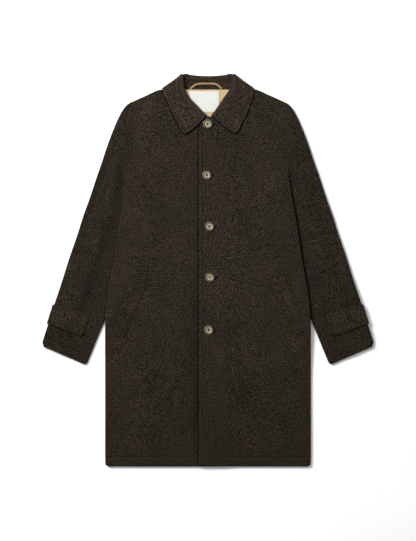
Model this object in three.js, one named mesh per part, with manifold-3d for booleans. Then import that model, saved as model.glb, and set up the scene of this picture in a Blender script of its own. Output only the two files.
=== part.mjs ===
// A long wool coat with a shirt collar, laid flat on its back and closed with five buttons.
// Millimetres. The coat lies on z = 0 with its front up, the collar towards +Y, the hem towards -Y.
// "left" and "right" are the wearer's, so the left half lies on +X. The left front buttons over the right.
import * as THREE from "three";
import { mergeVertices } from "three/addons/utils/BufferGeometryUtils.js";
import Module from "manifold-3d";

const wasm = await Module();
wasm.setup();

// Driving sizes
const CLOTH = 2.6; // thickness of the tweed
const LINING = 1.0; // thickness of the lining and of the label tape
const SEAM_GAP = 0.3; // clearance between pieces at a seam
const HEM_Y = -549.5;
const NECK_POINT = { x: 82, y: 508 };
const SHOULDER_POINT = { x: 218, y: 470 };
const UNDERARM_Y = 271;
const FRONT_OVERLAP = 26; // each front runs this far past the centre line
const BODY_DEPTH = 4.4; // from the middle of the back's cloth to the middle of the front's
const NECK_DEPTH = 5.8; // the same at the neck, where lining and label lie between
const BUTTON_RADIUS = 13;
const STRAP_LAYER = CLOTH + SEAM_GAP;
const HALF = CLOTH / 2;
const SIDES = [
  { name: "left", sign: 1 },
  { name: "right", sign: -1 },
];

// Half width of the body, armhole edge and side seam, from the hem up
const BODY_WIDTH = [
  { y: HEM_Y, x: 281 },
  { y: -545, x: 286 },
  { y: -536, x: 288.4 },
  { y: -137, x: 288.4 },
  { y: -114, x: 287 },
  { y: -50, x: 279 },
  { y: 16, x: 266 },
  { y: 83, x: 257 },
  { y: 166, x: 243 },
  { y: UNDERARM_Y, x: 224 },
  { y: 317, x: 225 },
  { y: 376, x: 227.5 },
  { y: 407, x: 231 },
  { y: 440, x: 226 },
  { y: SHOULDER_POINT.y, x: SHOULDER_POINT.x },
];
// Inner edge of the sleeve where it lies tucked under the body
const TUCKED_EDGE = [
  { y: -265, x: 341 },
  { y: -138, x: 289.5 },
  { y: -38, x: 251 },
  { y: 62, x: 213 },
  { y: 125, x: 190 },
  { y: 160, x: 187 },
  { y: 195, x: 200 },
  { y: 228, x: 222 },
  { y: 250, x: 229.5 },
  { y: UNDERARM_Y, x: 232 },
];
// Front neckline, from the centre out to the neck point
const FRONT_NECKLINE = [
  { x: 10, y: 431 },
  { x: 22, y: 437 },
  { x: 38, y: 450 },
  { x: 55, y: 468 },
  { x: 70, y: 488 },
  { x: NECK_POINT.x, y: NECK_POINT.y },
];
// Shoulder seam, from the neck point out
const SHOULDER = [
  { x: NECK_POINT.x, y: NECK_POINT.y },
  { x: 130, y: 503.4 },
  { x: 146, y: 500 },
  { x: 168, y: 490.6 },
  { x: 190, y: 481.8 },
  { x: SHOULDER_POINT.x, y: SHOULDER_POINT.y },
];
// Sleeve sections, from the armhole to the cuff: the outer edge and the inner edge
const SLEEVE = [
  { outerX: 219, outerY: 470.5, innerX: 227.5, innerY: 268 },
  { outerX: 239, outerY: 449, innerX: 230, innerY: 252 },
  { outerX: 261, outerY: 404, innerX: 225, innerY: 233 },
  { outerX: 281, outerY: 353, innerX: 212, innerY: 210 },
  { outerX: 298, outerY: 302, innerX: 199, innerY: 190 },
  { outerX: 314, outerY: 257, innerX: 189, innerY: 165 },
  { outerX: 332, outerY: 202, innerX: 188, innerY: 140 },
  { outerX: 350, outerY: 153, innerX: 196, innerY: 108 },
  { outerX: 367, outerY: 98, innerX: 209, innerY: 72 },
  { outerX: 386, outerY: 44, innerX: 224, innerY: 32 },
  { outerX: 402, outerY: -8, innerX: 243, innerY: -18 },
  { outerX: 418, outerY: -57, innerX: 262, innerY: -68 },
  { outerX: 434, outerY: -104, innerX: 283, innerY: -122 },
  { outerX: 446, outerY: -142, innerX: 301, innerY: -167 },
  { outerX: 456.5, outerY: -176, innerX: 318, innerY: -209 },
  { outerX: 464.8, outerY: -201, innerX: 335, innerY: -251 },
  { outerX: 461, outerY: -214, innerX: 341, innerY: -266 },
];
// Long soft folds in the upper layer of a sleeve: place across (0 inner, 1 outer) at the first and
// last section that it crosses, its height (a trough is negative), and its half width across
const SLEEVE_FOLDS = {
  right: [
    { from: 1, to: 8, acrossFrom: 0.82, acrossTo: 0.72, height: -1.6, width: 0.1 },
    { from: 1, to: 9, acrossFrom: 0.62, acrossTo: 0.55, height: 1.5, width: 0.12 },
    { from: 3, to: 9, acrossFrom: 0.5, acrossTo: 0.45, height: -1.2, width: 0.09 },
    { from: 9, to: 15, acrossFrom: 0.7, acrossTo: 0.6, height: 0.9, width: 0.16 },
  ],
  left: [
    { from: 1, to: 6, acrossFrom: 0.66, acrossTo: 0.58, height: -1.3, width: 0.1 },
    { from: 1, to: 8, acrossFrom: 0.86, acrossTo: 0.78, height: -0.9, width: 0.08 },
    { from: 2, to: 9, acrossFrom: 0.74, acrossTo: 0.66, height: 1.2, width: 0.12 },
    { from: 8, to: 15, acrossFrom: 0.62, acrossTo: 0.7, height: 1.0, width: 0.16 },
  ],
};
// Collar sections. N is the neck seam, R the crest of the roll, O the outer edge of the fall.
const COLLAR_BACK = [
  { nx: 0, ny: 506, rx: 0, ry: 544.5, ox: 0, oy: 455 },
  { nx: 28, ny: 506.3, rx: 26, ry: 545.5, ox: 38, oy: 457 },
  { nx: 54, ny: 507.3, rx: 48, ry: 547.5, ox: 76, oy: 464 },
  { nx: 72, ny: 508.6, rx: 62, ry: 549.5, ox: 106, oy: 480 },
];
const COLLAR_CORNER = { nx: 85, ny: 510, rx: 79.5, ry: 547.5, ox: 129, oy: 509 };
// The right roll runs a little differently: its own place is `rightRx`. `bow` curves the fall's end.
const COLLAR_FRONT = [
  { nx: 82.3, rx: 69.5, rightRx: 69.5, ry: 532, ox: 129.5, oy: 498, bow: 0 },
  { nx: 80, rx: 64, rightRx: 65.5, ry: 515, ox: 126, oy: 483, bow: 0 },
  { nx: 71, rx: 54, rightRx: 57, ry: 497, ox: 119.5, oy: 463, bow: 0 },
  { nx: 58, rx: 42.5, rightRx: 47, ry: 481, ox: 111, oy: 441, bow: 0 },
  { nx: 44.5, rx: 30, rightRx: 31.5, ry: 462, ox: 99, oy: 417, bow: 0 },
  { nx: 30, rx: 18, rightRx: 15, ry: 444.5, ox: 88, oy: 396, bow: 1.5 },
  { nx: 20, rx: 9, rightRx: 3, ry: 433, ox: 78, oy: 385, bow: 4 },
];
const CORNER_ANGLES = [-90, -54, -18, 18, 54, 90];
const RIGHT_POINT_SHIFT = 12; // the right collar point lies this much nearer the centre
// Corners of a pocket welt, inner and outer edge
const WELT = [
  { end: "low", innerX: 238, innerY: -188, outerX: 274, outerY: -178 },
  { end: "top", innerX: 163, innerY: -19, outerX: 221, outerY: -8 },
];
const BUTTONS = [
  { x: -1.1, y: 409.2 },
  { x: -3.6, y: 266.7 },
  { x: 4.2, y: 122.8 },
  { x: 5.3, y: -19.5 },
  { x: 2.2, y: -167.3 },
];

const lerp = THREE.MathUtils.lerp;

// 0 below `from`, 1 above `to`, with a soft ramp between.
function ramp(value, from, to) {
  const t = THREE.MathUtils.clamp((value - from) / (to - from), 0, 1);
  return t * t * (3 - 2 * t);
}

// Looks `value` up in a table of rows, rising in the column `key`, and gives the column `column`.
function lookUp(table, key, value, column) {
  const next = table.findIndex((row) => row[key] > value);
  if (next === 0) return table[0][column];
  if (next < 0) return table[table.length - 1][column];
  const a = table[next - 1];
  const b = table[next];
  return lerp(a[column], b[column], (value - a[key]) / (b[key] - a[key]));
}

function range(count) {
  return Array.from({ length: count }, (_, i) => i);
}

// The direction of a curve at its point 0, from the points beside it. `point(k)` is undefined past an end.
function tangent(point) {
  const step = (from, to) => point(to).clone().sub(point(from));
  const isStart = !point(-1);
  const isEnd = !point(1);
  const near = isStart ? step(0, 1) : step(-1, 0);
  if ((isStart && !point(2)) || (isEnd && !point(-2))) return near;
  const other = isStart ? step(1, 2) : isEnd ? step(-2, -1) : step(0, 1);
  const share = near.length() / (near.length() + other.length());
  near.normalize();
  other.normalize();
  return isStart || isEnd ? near.addScaledVector(other.sub(near), -share) : near.lerp(other, share);
}

// A solid from a surface given as `at(row, column)`, a cloth's middle layer. The wall stands half its
// thickness to each side. `ring` closes it round its columns.
function clothWall(rows, columns, thickness, at, ring = false) {
  const middle = range(rows).map((i) => range(columns).map((j) => at(i, j)));
  const wrap = (j) => (ring ? (j + columns) % columns : j);
  const points = [];
  for (const side of [1, -1]) {
    for (let i = 0; i < rows; i++) {
      for (let j = 0; j < columns; j++) {
        const along = tangent((k) => middle[i + k]?.[j]);
        const across = tangent((k) => middle[i][wrap(j + k)]);
        const normal = across.cross(along).normalize();
        points.push(middle[i][j].clone().addScaledVector(normal, (side * thickness) / 2));
      }
    }
  }
  const id = (side, i, j) => side * rows * columns + i * columns + wrap(j);
  const faces = [];
  const quad = (a, b, c, d) => faces.push(a, b, c, a, c, d);
  const lastColumn = ring ? columns : columns - 1;
  for (let i = 0; i < rows - 1; i++) {
    for (let j = 0; j < lastColumn; j++) {
      quad(id(0, i, j), id(0, i, j + 1), id(0, i + 1, j + 1), id(0, i + 1, j));
      quad(id(1, i, j), id(1, i + 1, j), id(1, i + 1, j + 1), id(1, i, j + 1));
    }
    if (!ring) {
      quad(id(0, i, 0), id(0, i + 1, 0), id(1, i + 1, 0), id(1, i, 0));
      const j = columns - 1;
      quad(id(0, i + 1, j), id(0, i, j), id(1, i, j), id(1, i + 1, j));
    }
  }
  const top = rows - 1;
  for (let j = 0; j < lastColumn; j++) {
    quad(id(0, 0, j + 1), id(0, 0, j), id(1, 0, j), id(1, 0, j + 1));
    quad(id(0, top, j), id(0, top, j + 1), id(1, top, j + 1), id(1, top, j));
  }
  const geometry = new THREE.BufferGeometry().setFromPoints(points);
  geometry.setIndex(faces);
  return geometry;
}

// How far a cloth edge of length `arc`, turned by `share` of a right angle, reaches out and drops.
function turnedEdge(distance, arc, share) {
  if (share < 1e-3) return { out: distance, drop: 0 };
  const bend = (share * Math.PI) / 2 / arc;
  return { out: Math.sin(bend * distance) / bend, drop: (1 - Math.cos(bend * distance)) / bend };
}

// Heights of the layers

const SLEEVE_FLAT = 3.6; // depth of the sleeve where it is pressed under the body
const SLEEVE_LIFT = SLEEVE_FLAT + CLOTH + 0.4; // the body lies this high where it covers the sleeve
const LIFT_FULL = 22; // the body is at full height this far before the tucked sleeve
const LIFT_FADE = 76; // and down on the floor this far from it
// Where each rise begins and is whole
const UNDERARM_RISE = { from: 290, to: 250 };
const CUFF_RISE = { from: -330, to: -150 };
const COLLAR_RISE = { fromY: 375, toY: 415, fromX: 185, toX: 135 };
const NECK_RISE = { fromY: 350, toY: 420, fromX: 200, toX: 140 };
const RIDING_RISE = { from: 95, to: 30 };
const RIDING_CLEARANCE = 0.5;

function nearNeck(rise, x, y) {
  return ramp(y, rise.fromY, rise.toY) * ramp(-Math.abs(x), -rise.fromX, -rise.toX);
}

// Middle of the back's cloth
function backHeight(x, y) {
  const edge = lookUp(TUCKED_EDGE, "y", y, "x");
  const belowUnderarm = ramp(-y, -UNDERARM_RISE.from, -UNDERARM_RISE.to);
  const overSleeve = ramp(Math.abs(x), edge - LIFT_FADE, edge - LIFT_FULL) * belowUnderarm;
  const aboveCuff = ramp(y, CUFF_RISE.from, CUFF_RISE.to);
  const overCollar = nearNeck(COLLAR_RISE, x, y);
  return HALF + SLEEVE_LIFT * overSleeve * aboveCuff + STRAP_LAYER * overCollar;
}

// Middle of a front's cloth, away from where the left one rides over the right
function frontHeight(x, y) {
  return backHeight(x, y) + lerp(BODY_DEPTH, NECK_DEPTH, nearNeck(NECK_RISE, x, y));
}

// The left front rides over the right one at the closing, then settles.
function ridingHeight(x) {
  return (STRAP_LAYER + RIDING_CLEARANCE) * ramp(-x, -RIDING_RISE.from, -RIDING_RISE.to);
}

function shoulderLine(x) {
  return lookUp(SHOULDER, "x", x, "y");
}

function backTop(x) {
  if (x >= NECK_POINT.x) return shoulderLine(x);
  return lerp(505.5, NECK_POINT.y, (x / NECK_POINT.x) ** 2);
}

function frontTop(x) {
  if (x < 0) return FRONT_NECKLINE[0].y - 1;
  if (x >= NECK_POINT.x) return shoulderLine(x);
  return lookUp(FRONT_NECKLINE, "x", x, "y");
}

// The height of a built piece's upper face at a place, or 0 beside it.
function upperFace(geometry) {
  const place = geometry.getAttribute("position");
  const faces = geometry.index.array;
  const [a, b, c, hit] = range(4).map(() => new THREE.Vector3());
  const ray = new THREE.Ray(new THREE.Vector3(), new THREE.Vector3(0, 0, -1));
  return (x, y) => {
    ray.origin.set(x, y, 100);
    let height = 0;
    for (let i = 0; i < faces.length; i += 3) {
      a.fromBufferAttribute(place, faces[i]);
      b.fromBufferAttribute(place, faces[i + 1]);
      c.fromBufferAttribute(place, faces[i + 2]);
      if (ray.intersectTriangle(a, b, c, false, hit)) height = Math.max(height, hit.z);
    }
    return height;
  };
}

// Body panels

const ROW_SHARES = [
  0, 0.005, 0.014, 0.14, 0.27, 0.38, 0.44, 0.5, 0.555, 0.605, 0.65, 0.69, 0.725, 0.755, 0.785,
  0.805, 0.83, 0.87, 0.91, 0.95, 0.98,
];
const EDGE_STEPS = [0, 0.5, 1];
const FRONT_COLUMNS = [-26, -8, 10, 26, 45, 62, 82, 102, 130, 158, 184, 203];
const BACK_COLUMNS = [0, 30, 60, 82, 102, 130, 158, 184, 203];
const SIDE_TURN = { above: 10, below: 20 }; // the side edges begin to turn round the underarm
const SHOULDER_TURN = 18; // the shoulder edge turns in over this distance from the neck point
const TUCKED_CORNER = 14; // the free edge slopes back at its top, where the collar point covers it
const CORNER_START = 436; // from this row up

// A point of a panel's middle layer, row i up from the hem and column j out from its free edge.
// `columns` are the places across at the top, `turn` the way that the side and shoulder edges turn.
function panelPoint({ inner, corner, columns, sign, height, top, turn }, i, j) {
  const fixed = columns.length;
  const arc = (((BODY_DEPTH - SEAM_GAP) / 2) * Math.PI) / 2;
  const up = i < ROW_SHARES.length ? ROW_SHARES[i] : 1;
  const topStep = i < ROW_SHARES.length ? 0 : EDGE_STEPS[i - ROW_SHARES.length] * arc;
  const sideStep = j < fixed ? 0 : EDGE_STEPS[j - fixed] * arc;
  const sideY = lerp(HEM_Y, SHOULDER_POINT.y, up);
  const sideTurn = ramp(-sideY, -UNDERARM_Y - SIDE_TURN.above, -UNDERARM_Y + SIDE_TURN.below);
  const sideReach = turnedEdge(arc, arc, sideTurn).out + HALF * sideTurn;
  const flatEnd = lookUp(BODY_WIDTH, "y", sideY, "x") - sideReach;
  const topFlatEnd = SHOULDER_POINT.x - sideReach;
  const topX = j < fixed ? columns[j] : topFlatEnd;
  const across = (topX - inner) / (topFlatEnd - inner);
  const side = turnedEdge(sideStep, arc, sideTurn);
  const x = lerp(inner + corner * ramp(sideY, CORNER_START, SHOULDER_POINT.y), flatEnd, across) + side.out;
  const topTurn = ramp(topX, NECK_POINT.x, NECK_POINT.x + SHOULDER_TURN);
  const topReach = (turnedEdge(arc, arc, topTurn).out + HALF) * topTurn;
  const topEdge = turnedEdge(topStep, arc, topTurn);
  const flatTop = top(topX) - topReach - (1 - topTurn) * arc;
  const y = lerp(HEM_Y, flatTop, up) + topEdge.out;
  const z = height(sign * x, y) + turn * (side.drop + topEdge.drop);
  return new THREE.Vector3(sign * x, y, z);
}

const PANEL_ROWS = ROW_SHARES.length + EDGE_STEPS.length;

function front(side) {
  const panel = {
    inner: -FRONT_OVERLAP,
    corner: TUCKED_CORNER,
    columns: FRONT_COLUMNS,
    sign: side.sign,
    height: side.sign > 0 ? (x, y) => frontHeight(x, y) + ridingHeight(x) : frontHeight,
    top: frontTop,
    turn: -1,
  };
  const count = FRONT_COLUMNS.length + EDGE_STEPS.length;
  const column = (j) => (side.sign > 0 ? j : count - 1 - j);
  return clothWall(PANEL_ROWS, count, CLOTH, (i, j) => panelPoint(panel, i, column(j)));
}

// The back is one piece, so its two halves are one grid from side seam to side seam.
function back() {
  const half = BACK_COLUMNS.length + EDGE_STEPS.length - 1;
  const panel = { inner: 0, corner: 0, columns: BACK_COLUMNS, height: backHeight, top: backTop, turn: 1 };
  return clothWall(PANEL_ROWS, 2 * half + 1, CLOTH, (i, j) => {
    return panelPoint({ ...panel, sign: j < half ? -1 : 1 }, i, Math.abs(j - half));
  });
}

// Sleeves

// The strap runs from one place along the sleeve's sections to another. `first` to `last` are the
// sections raised over it, `inner` and `under` its ends across the upper and the under layer.
// Cuff strap: sleeve sections that it lies between, shares across the sleeve where its inner end and
// its end underneath lie, how far it stands off the outer edge, how much its inner end slants, and how
// far before its end underneath the sleeve starts to rise and has risen
const STRAP = {
  first: 11,
  last: 14,
  from: 11.85,
  to: 13.25,
  inner: 0.29,
  under: 0.72,
  bulge: 1.6,
  slant: 0.35,
  riseFrom: 0.3,
  riseTo: 0.08,
};
// The sleeve is pressed flat up to the first share across, and open beyond the second.
const PRESSED = { from: 0.3, to: 0.62 };
const OPEN_DEPTH = 5.6; // from layer to layer where the sleeve is open
const EDGE_SHARE = 0.06; // this near its inner edge the sleeve is always at its flat depth
const ARMHOLE_GAP = 1.1; // sideways, so that the curved seam stays clear
const UNDER_STEPS = 6;
const UPPER_STEPS = 13;
const ROUND_STEPS = 2;
const RING = UNDER_STEPS + UPPER_STEPS + 2 * ROUND_STEPS + 2;

// The under layer is raised over the strap's end, which lies below it.
function sleeveUnderHeight(section, across) {
  const afterFirst = ramp(section, STRAP.first - 1, STRAP.first);
  const overStrap = afterFirst * ramp(-section, -STRAP.last - 1, -STRAP.last);
  const besideEnd = ramp(across, STRAP.under - STRAP.riseFrom, STRAP.under - STRAP.riseTo);
  return HALF + STRAP_LAYER * overStrap * besideEnd;
}

function sleeveDepth(section, across, sideName) {
  const pressed = 1 - ramp(across, PRESSED.from, PRESSED.to);
  const open = ramp(section, 0, 2);
  let depth = lerp(lerp(BODY_DEPTH, OPEN_DEPTH, open), SLEEVE_FLAT, pressed * ramp(section, 0, 1.5));
  for (const fold of SLEEVE_FOLDS[sideName]) {
    const along = (section - fold.from) / (fold.to - fold.from);
    if (along <= 0 || along >= 1) continue;
    const middle = lerp(fold.acrossFrom, fold.acrossTo, along);
    const shape = Math.exp(-(((across - middle) / fold.width) ** 2));
    depth += fold.height * shape * Math.sin(Math.PI * along);
  }
  const edge = ramp(across, 0, EDGE_SHARE);
  return Math.max(depth, SLEEVE_FLAT) * edge + SLEEVE_FLAT * (1 - edge);
}

// A point of the sleeve's middle layer. `step` runs round the ring: under layer, outer edge, upper
// layer, inner edge.
function ringPoint(section, step, side) {
  const row = SLEEVE[section];
  const outer = new THREE.Vector2(row.outerX, row.outerY);
  const inner = new THREE.Vector2(row.innerX, row.innerY);
  const width = outer.clone().sub(inner);
  const length = width.length();
  width.normalize();
  const innerRadius = sleeveDepth(section, 0, side.name) / 2;
  const outerRadius = sleeveDepth(section, 1, side.name) / 2;
  const place = (across) => lerp(innerRadius + HALF, length - outerRadius - HALF, across);
  let along;
  let z;
  if (step <= UNDER_STEPS) {
    const across = step / UNDER_STEPS;
    along = place(across);
    z = sleeveUnderHeight(section, across);
  } else if (step <= UNDER_STEPS + ROUND_STEPS + 1) {
    const angle = ((step - UNDER_STEPS) / (ROUND_STEPS + 1)) * Math.PI;
    along = place(1) + outerRadius * Math.sin(angle);
    z = sleeveUnderHeight(section, 1) + outerRadius * (1 - Math.cos(angle));
  } else if (step <= UNDER_STEPS + ROUND_STEPS + 1 + UPPER_STEPS) {
    const across = 1 - (step - UNDER_STEPS - ROUND_STEPS - 1) / UPPER_STEPS;
    along = place(across);
    z = sleeveUnderHeight(section, across) + sleeveDepth(section, across, side.name);
  } else {
    const angle = ((step - UNDER_STEPS - ROUND_STEPS - 1 - UPPER_STEPS) / (ROUND_STEPS + 1)) * Math.PI;
    along = place(0) - innerRadius * Math.sin(angle);
    z = sleeveUnderHeight(section, 0) + innerRadius * (1 + Math.cos(angle));
  }
  const point = inner.clone().addScaledVector(width, along);
  // The first section follows the curve of the armhole.
  const atArmhole = 1 - ramp(section, 0, 1);
  const armholeX = lookUp(BODY_WIDTH, "y", point.y, "x") + ARMHOLE_GAP;
  const besideBody = section < 1.5 && point.y > UNDERARM_Y;
  const x = Math.max(lerp(point.x, armholeX, atArmhole), besideBody ? armholeX : 0);
  return new THREE.Vector3(side.sign * x, point.y, z);
}

// The same between the built sections and steps, on the faces of the solid.
function sleevePoint(section, step, side) {
  const i = Math.floor(section);
  const j = Math.floor(step);
  const near = ringPoint(i, j, side).lerp(ringPoint(i, (j + 1) % RING, side), step - j);
  const far = ringPoint(i + 1, j, side).lerp(ringPoint(i + 1, (j + 1) % RING, side), step - j);
  return near.lerp(far, section - i);
}

function sleeve(side) {
  const at = (i, j) => ringPoint(i, side.sign > 0 ? j : (RING - j) % RING, side);
  return clothWall(SLEEVE.length, RING, CLOTH, at, true);
}

// The strap is made from the sleeve's own points, moved out by a layer of cloth.
function cuffStrap(side) {
  const start = UNDER_STEPS * STRAP.under;
  const end = UNDER_STEPS + ROUND_STEPS + 1 + UPPER_STEPS * (1 - STRAP.inner);
  const steps = [start, (start + UNDER_STEPS) / 2, ...range(ROUND_STEPS + 2).map((k) => UNDER_STEPS + k)];
  const upperStart = UNDER_STEPS + ROUND_STEPS + 1;
  for (let step = upperStart + 1; step < end; step += 1) steps.push(step);
  steps.push(end);
  const rows = 5;
  const small = 0.02;
  const at = (i, j) => {
    const step = steps[side.sign > 0 ? j : steps.length - 1 - j];
    const slant = STRAP.slant * ramp(step, upperStart, end);
    const section = lerp(STRAP.from, STRAP.to, i / (rows - 1)) + slant;
    const here = sleevePoint(section, step, side);
    const along = sleevePoint(section + small, step, side).sub(here);
    const across = sleevePoint(section, step + small, side).sub(here);
    const normal = across.cross(along).normalize().multiplyScalar(side.sign);
    const round = THREE.MathUtils.clamp((step - UNDER_STEPS) / (ROUND_STEPS + 1), 0, 1);
    const bulge = STRAP.bulge * Math.sin(Math.PI * round);
    return here.addScaledVector(normal, STRAP_LAYER + bulge);
  };
  return clothWall(rows, steps.length, CLOTH, at);
}

const STEP_REACH = 5;
const frontPieces = SIDES.map(front);
const frontFaces = frontPieces.map(upperFace);

// The upper face of whichever front lies on top
function frontsTop(x, y) {
  return Math.max(...frontFaces.map((face) => face(x, y)));
}

// The highest place of the fronts close by, for cloth that bridges the step of the closing
function frontsTopNear(x, y) {
  const near = range(4).map((k) => (k / 2) * Math.PI);
  const around = near.map((angle) => {
    return frontsTop(x + STEP_REACH * Math.cos(angle), y + STEP_REACH * Math.sin(angle));
  });
  return Math.max(frontsTop(x, y), ...around);
}

// A pocket welt lies on its front, made from the front's heights.
function pocketWelt(side) {
  const rows = 12; // as close as the front's own faces need
  const columns = 6;
  const at = (i, j) => {
    const up = i / (rows - 1);
    const out = (side.sign > 0 ? j : columns - 1 - j) / (columns - 1);
    const edge = (column) => lerp(WELT[0][column], WELT[1][column], up);
    const x = side.sign * lerp(edge("innerX"), edge("outerX"), out);
    const y = lerp(edge("innerY"), edge("outerY"), out);
    return new THREE.Vector3(x, y, frontsTop(x, y) + 2 * SEAM_GAP + HALF);
  };
  return clothWall(rows, columns, CLOTH, at);
}

// Collar

const STAND_BACK_Z = HALF + STRAP_LAYER;
const STAND_FRONT_Z = STAND_BACK_Z + NECK_DEPTH;
const COLLAR_GAP = 1; // along the stand at the neck seam, so that the curved edges stay clear
const ROLL_SEAM_GAP = 2.4; // and between stand and fall, whose seam runs aslant at the corners
const ROLL_DEPTH = 5;
const ROLL_STEPS = 5;
const FALL_STEPS = 7;
const STAND_STEPS = 4;
const LEAF_LAYER = HALF + 0.8;
const SEAM_BELOW_ROLL = 9; // from the roll down to the seam of stand and fall
const LOWEST_SEAM = 0.5; // but never below this share of the stand's height
const SETTLED = 0.55; // past this share of its width the fall lies on the cloth below it
// The right roll's end is lifted over the corner of the left front, over this distance from the centre
const CORNER_LIFT = { height: 2.2, from: 20, to: 8 };

// All collar sections from the back centre to one front end, each with the way it faces: -90 degrees
// where the fall lies below the stand (back), 90 where it lies on top (front).
function collarSections(side) {
  const shift = (section, share) => {
    if (side.sign > 0) return section;
    return { ...section, rx: section.rightRx, ox: section.ox - RIGHT_POINT_SHIFT * share };
  };
  const corner = CORNER_ANGLES.map((angle) => ({ ...COLLAR_CORNER, angle, corner: true }));
  const forward = COLLAR_FRONT.map((s, i) => {
    return { ...shift(s, (i + 1) / COLLAR_FRONT.length), ny: frontTop(s.nx), angle: 90 };
  });
  return [...COLLAR_BACK.map((s) => ({ ...s, angle: -90 })), ...corner, ...forward];
}

// Points of one collar section, from the neck seam over the roll to the outer edge.
function collarLine(section, side) {
  const angle = THREE.MathUtils.degToRad(section.angle);
  const neck = new THREE.Vector2(section.nx, section.ny);
  const roll = new THREE.Vector2(section.rx, section.ry);
  const edge = new THREE.Vector2(section.ox, section.oy);
  const up = roll.clone().sub(neck).normalize();
  const outward = new THREE.Vector2(up.y, -up.x);
  const isBack = (1 - Math.sin(angle)) / 2;
  const turnRadius = (STAND_FRONT_Z - STAND_BACK_Z) / 2;
  const middleZ = (STAND_FRONT_Z + STAND_BACK_Z) / 2;
  const ridden = section.angle > 0 && side.sign > 0 ? 1 : 0;
  const level = Math.cos(angle);
  const facing = new THREE.Vector3(outward.x * level, outward.y * level, Math.sin(angle));
  const standAt = (distance, share) => {
    const inset = section.corner ? turnRadius * (1 - Math.cos(angle)) + ROLL_DEPTH * share : 0;
    const flat = neck.clone().addScaledVector(up, distance).addScaledVector(outward, -inset);
    const lifted = side.sign < 0 ? CORNER_LIFT.height * ramp(-flat.x, -CORNER_LIFT.from, -CORNER_LIFT.to) : 0;
    const ride = ridden ? ridingHeight(flat.x) : lifted;
    const point = new THREE.Vector3(flat.x, flat.y, middleZ + turnRadius * Math.sin(angle) + ride);
    return point.addScaledVector(facing, -(ROLL_DEPTH - STRAP_LAYER) * isBack * share * share);
  };
  const height = roll.distanceTo(neck) - HALF - ROLL_DEPTH / 2;
  const seam = Math.max(height - SEAM_BELOW_ROLL, height * LOWEST_SEAM);
  const stand = range(STAND_STEPS).map((k) => {
    const share = k / (STAND_STEPS - 1);
    const distance = lerp(COLLAR_GAP, seam - ROLL_SEAM_GAP, share);
    return standAt(distance, distance / height);
  });
  const fall = [standAt(seam, seam / height)];
  const rollStart = standAt(height, 1);
  const centre = rollStart.clone().addScaledVector(facing, ROLL_DEPTH / 2);
  const upward = new THREE.Vector3(up.x, up.y, 0);
  range(ROLL_STEPS + 1).forEach((k) => {
    const turn = (k / ROLL_STEPS) * Math.PI;
    const point = centre.clone().addScaledVector(facing, (-ROLL_DEPTH / 2) * Math.cos(turn));
    fall.push(point.addScaledVector(upward, (ROLL_DEPTH / 2) * Math.sin(turn)));
  });
  const start = fall[fall.length - 1];
  const edgeWay = edge.clone().sub(roll).normalize();
  const edgeOut = new THREE.Vector2(-edgeWay.y, edgeWay.x);
  range(FALL_STEPS).forEach((k) => {
    const share = (k + 1) / FALL_STEPS;
    const flat = new THREE.Vector2(lerp(start.x, edge.x, share), lerp(start.y, edge.y, share));
    flat.addScaledVector(edgeOut, -(section.bow ?? 0) * Math.sin(Math.PI * share));
    const clothTop = frontsTopNear(side.sign * flat.x, flat.y);
    const topZ = Math.max(clothTop, STAND_FRONT_Z + HALF) + LEAF_LAYER;
    const fallRadius = (topZ - HALF) / 2;
    if (section.corner) flat.addScaledVector(edgeOut, fallRadius * (Math.cos(angle) - 1) * share);
    const settled = lerp(HALF, topZ, (1 + Math.sin(angle)) / 2);
    const z = lerp(start.z, settled, ramp(share, 0, SETTLED));
    fall.push(new THREE.Vector3(flat.x, flat.y, z));
  });
  return { stand, fall };
}

// One strip right round the neck, from the right front end by the back to the left front end.
function collarStrip(part) {
  const left = collarSections(SIDES[0]).map((s) => collarLine(s, SIDES[0])[part]);
  const right = collarSections(SIDES[1]).map((s) => collarLine(s, SIDES[1])[part]);
  right.forEach((line) => line.forEach((point) => point.setX(-point.x)));
  const lines = [...right.slice(1).reverse(), ...left];
  return clothWall(lines.length, lines[0].length, CLOTH, (i, j) => lines[i][j]);
}

// Inside the neck

const LINING_TOP = 506.2;
const LINING_LOW = 424;
const LABEL = { left: -52, right: 32, low: 442.5, high: 501.5 };
const LOOP_ROUTE = [
  { x: -50, y: 508.5 },
  { x: -42, y: 515 },
  { x: -33, y: 520.8 },
  { x: -22, y: 522.8 },
  { x: -4, y: 523 },
  { x: 17, y: 522.6 },
  { x: 27, y: 519 },
  { x: 38.5, y: 508.5 },
];
// The loop lies on the stand, which rises from its seam to the roll.
const LOOP = { width: 5, thickness: 1.6, seamY: 500, standHeight: 36 };

// A flat piece between two edges, `half(y)` to each side, at a height over the back's cloth.
function neckPiece(rows, columns, edges, lift) {
  const at = (i, j) => {
    const { y, left, right } = edges(i / (rows - 1));
    const x = lerp(left, right, j / (columns - 1));
    return new THREE.Vector3(x, y, backHeight(x, y) + lift);
  };
  return clothWall(rows, columns, LINING, at);
}

function neckLining() {
  const halfWidth = (up) => lerp(40, 74, up);
  const edges = (up) => {
    return { y: lerp(LINING_LOW, LINING_TOP, up), left: -halfWidth(up), right: halfWidth(up) };
  };
  return neckPiece(8, 9, edges, HALF + SEAM_GAP + LINING / 2);
}

function neckLabel() {
  const edges = (up) => ({ y: lerp(LABEL.low, LABEL.high, up), left: LABEL.left, right: LABEL.right });
  return neckPiece(6, 7, edges, HALF + 2 * SEAM_GAP + 1.5 * LINING);
}

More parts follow.
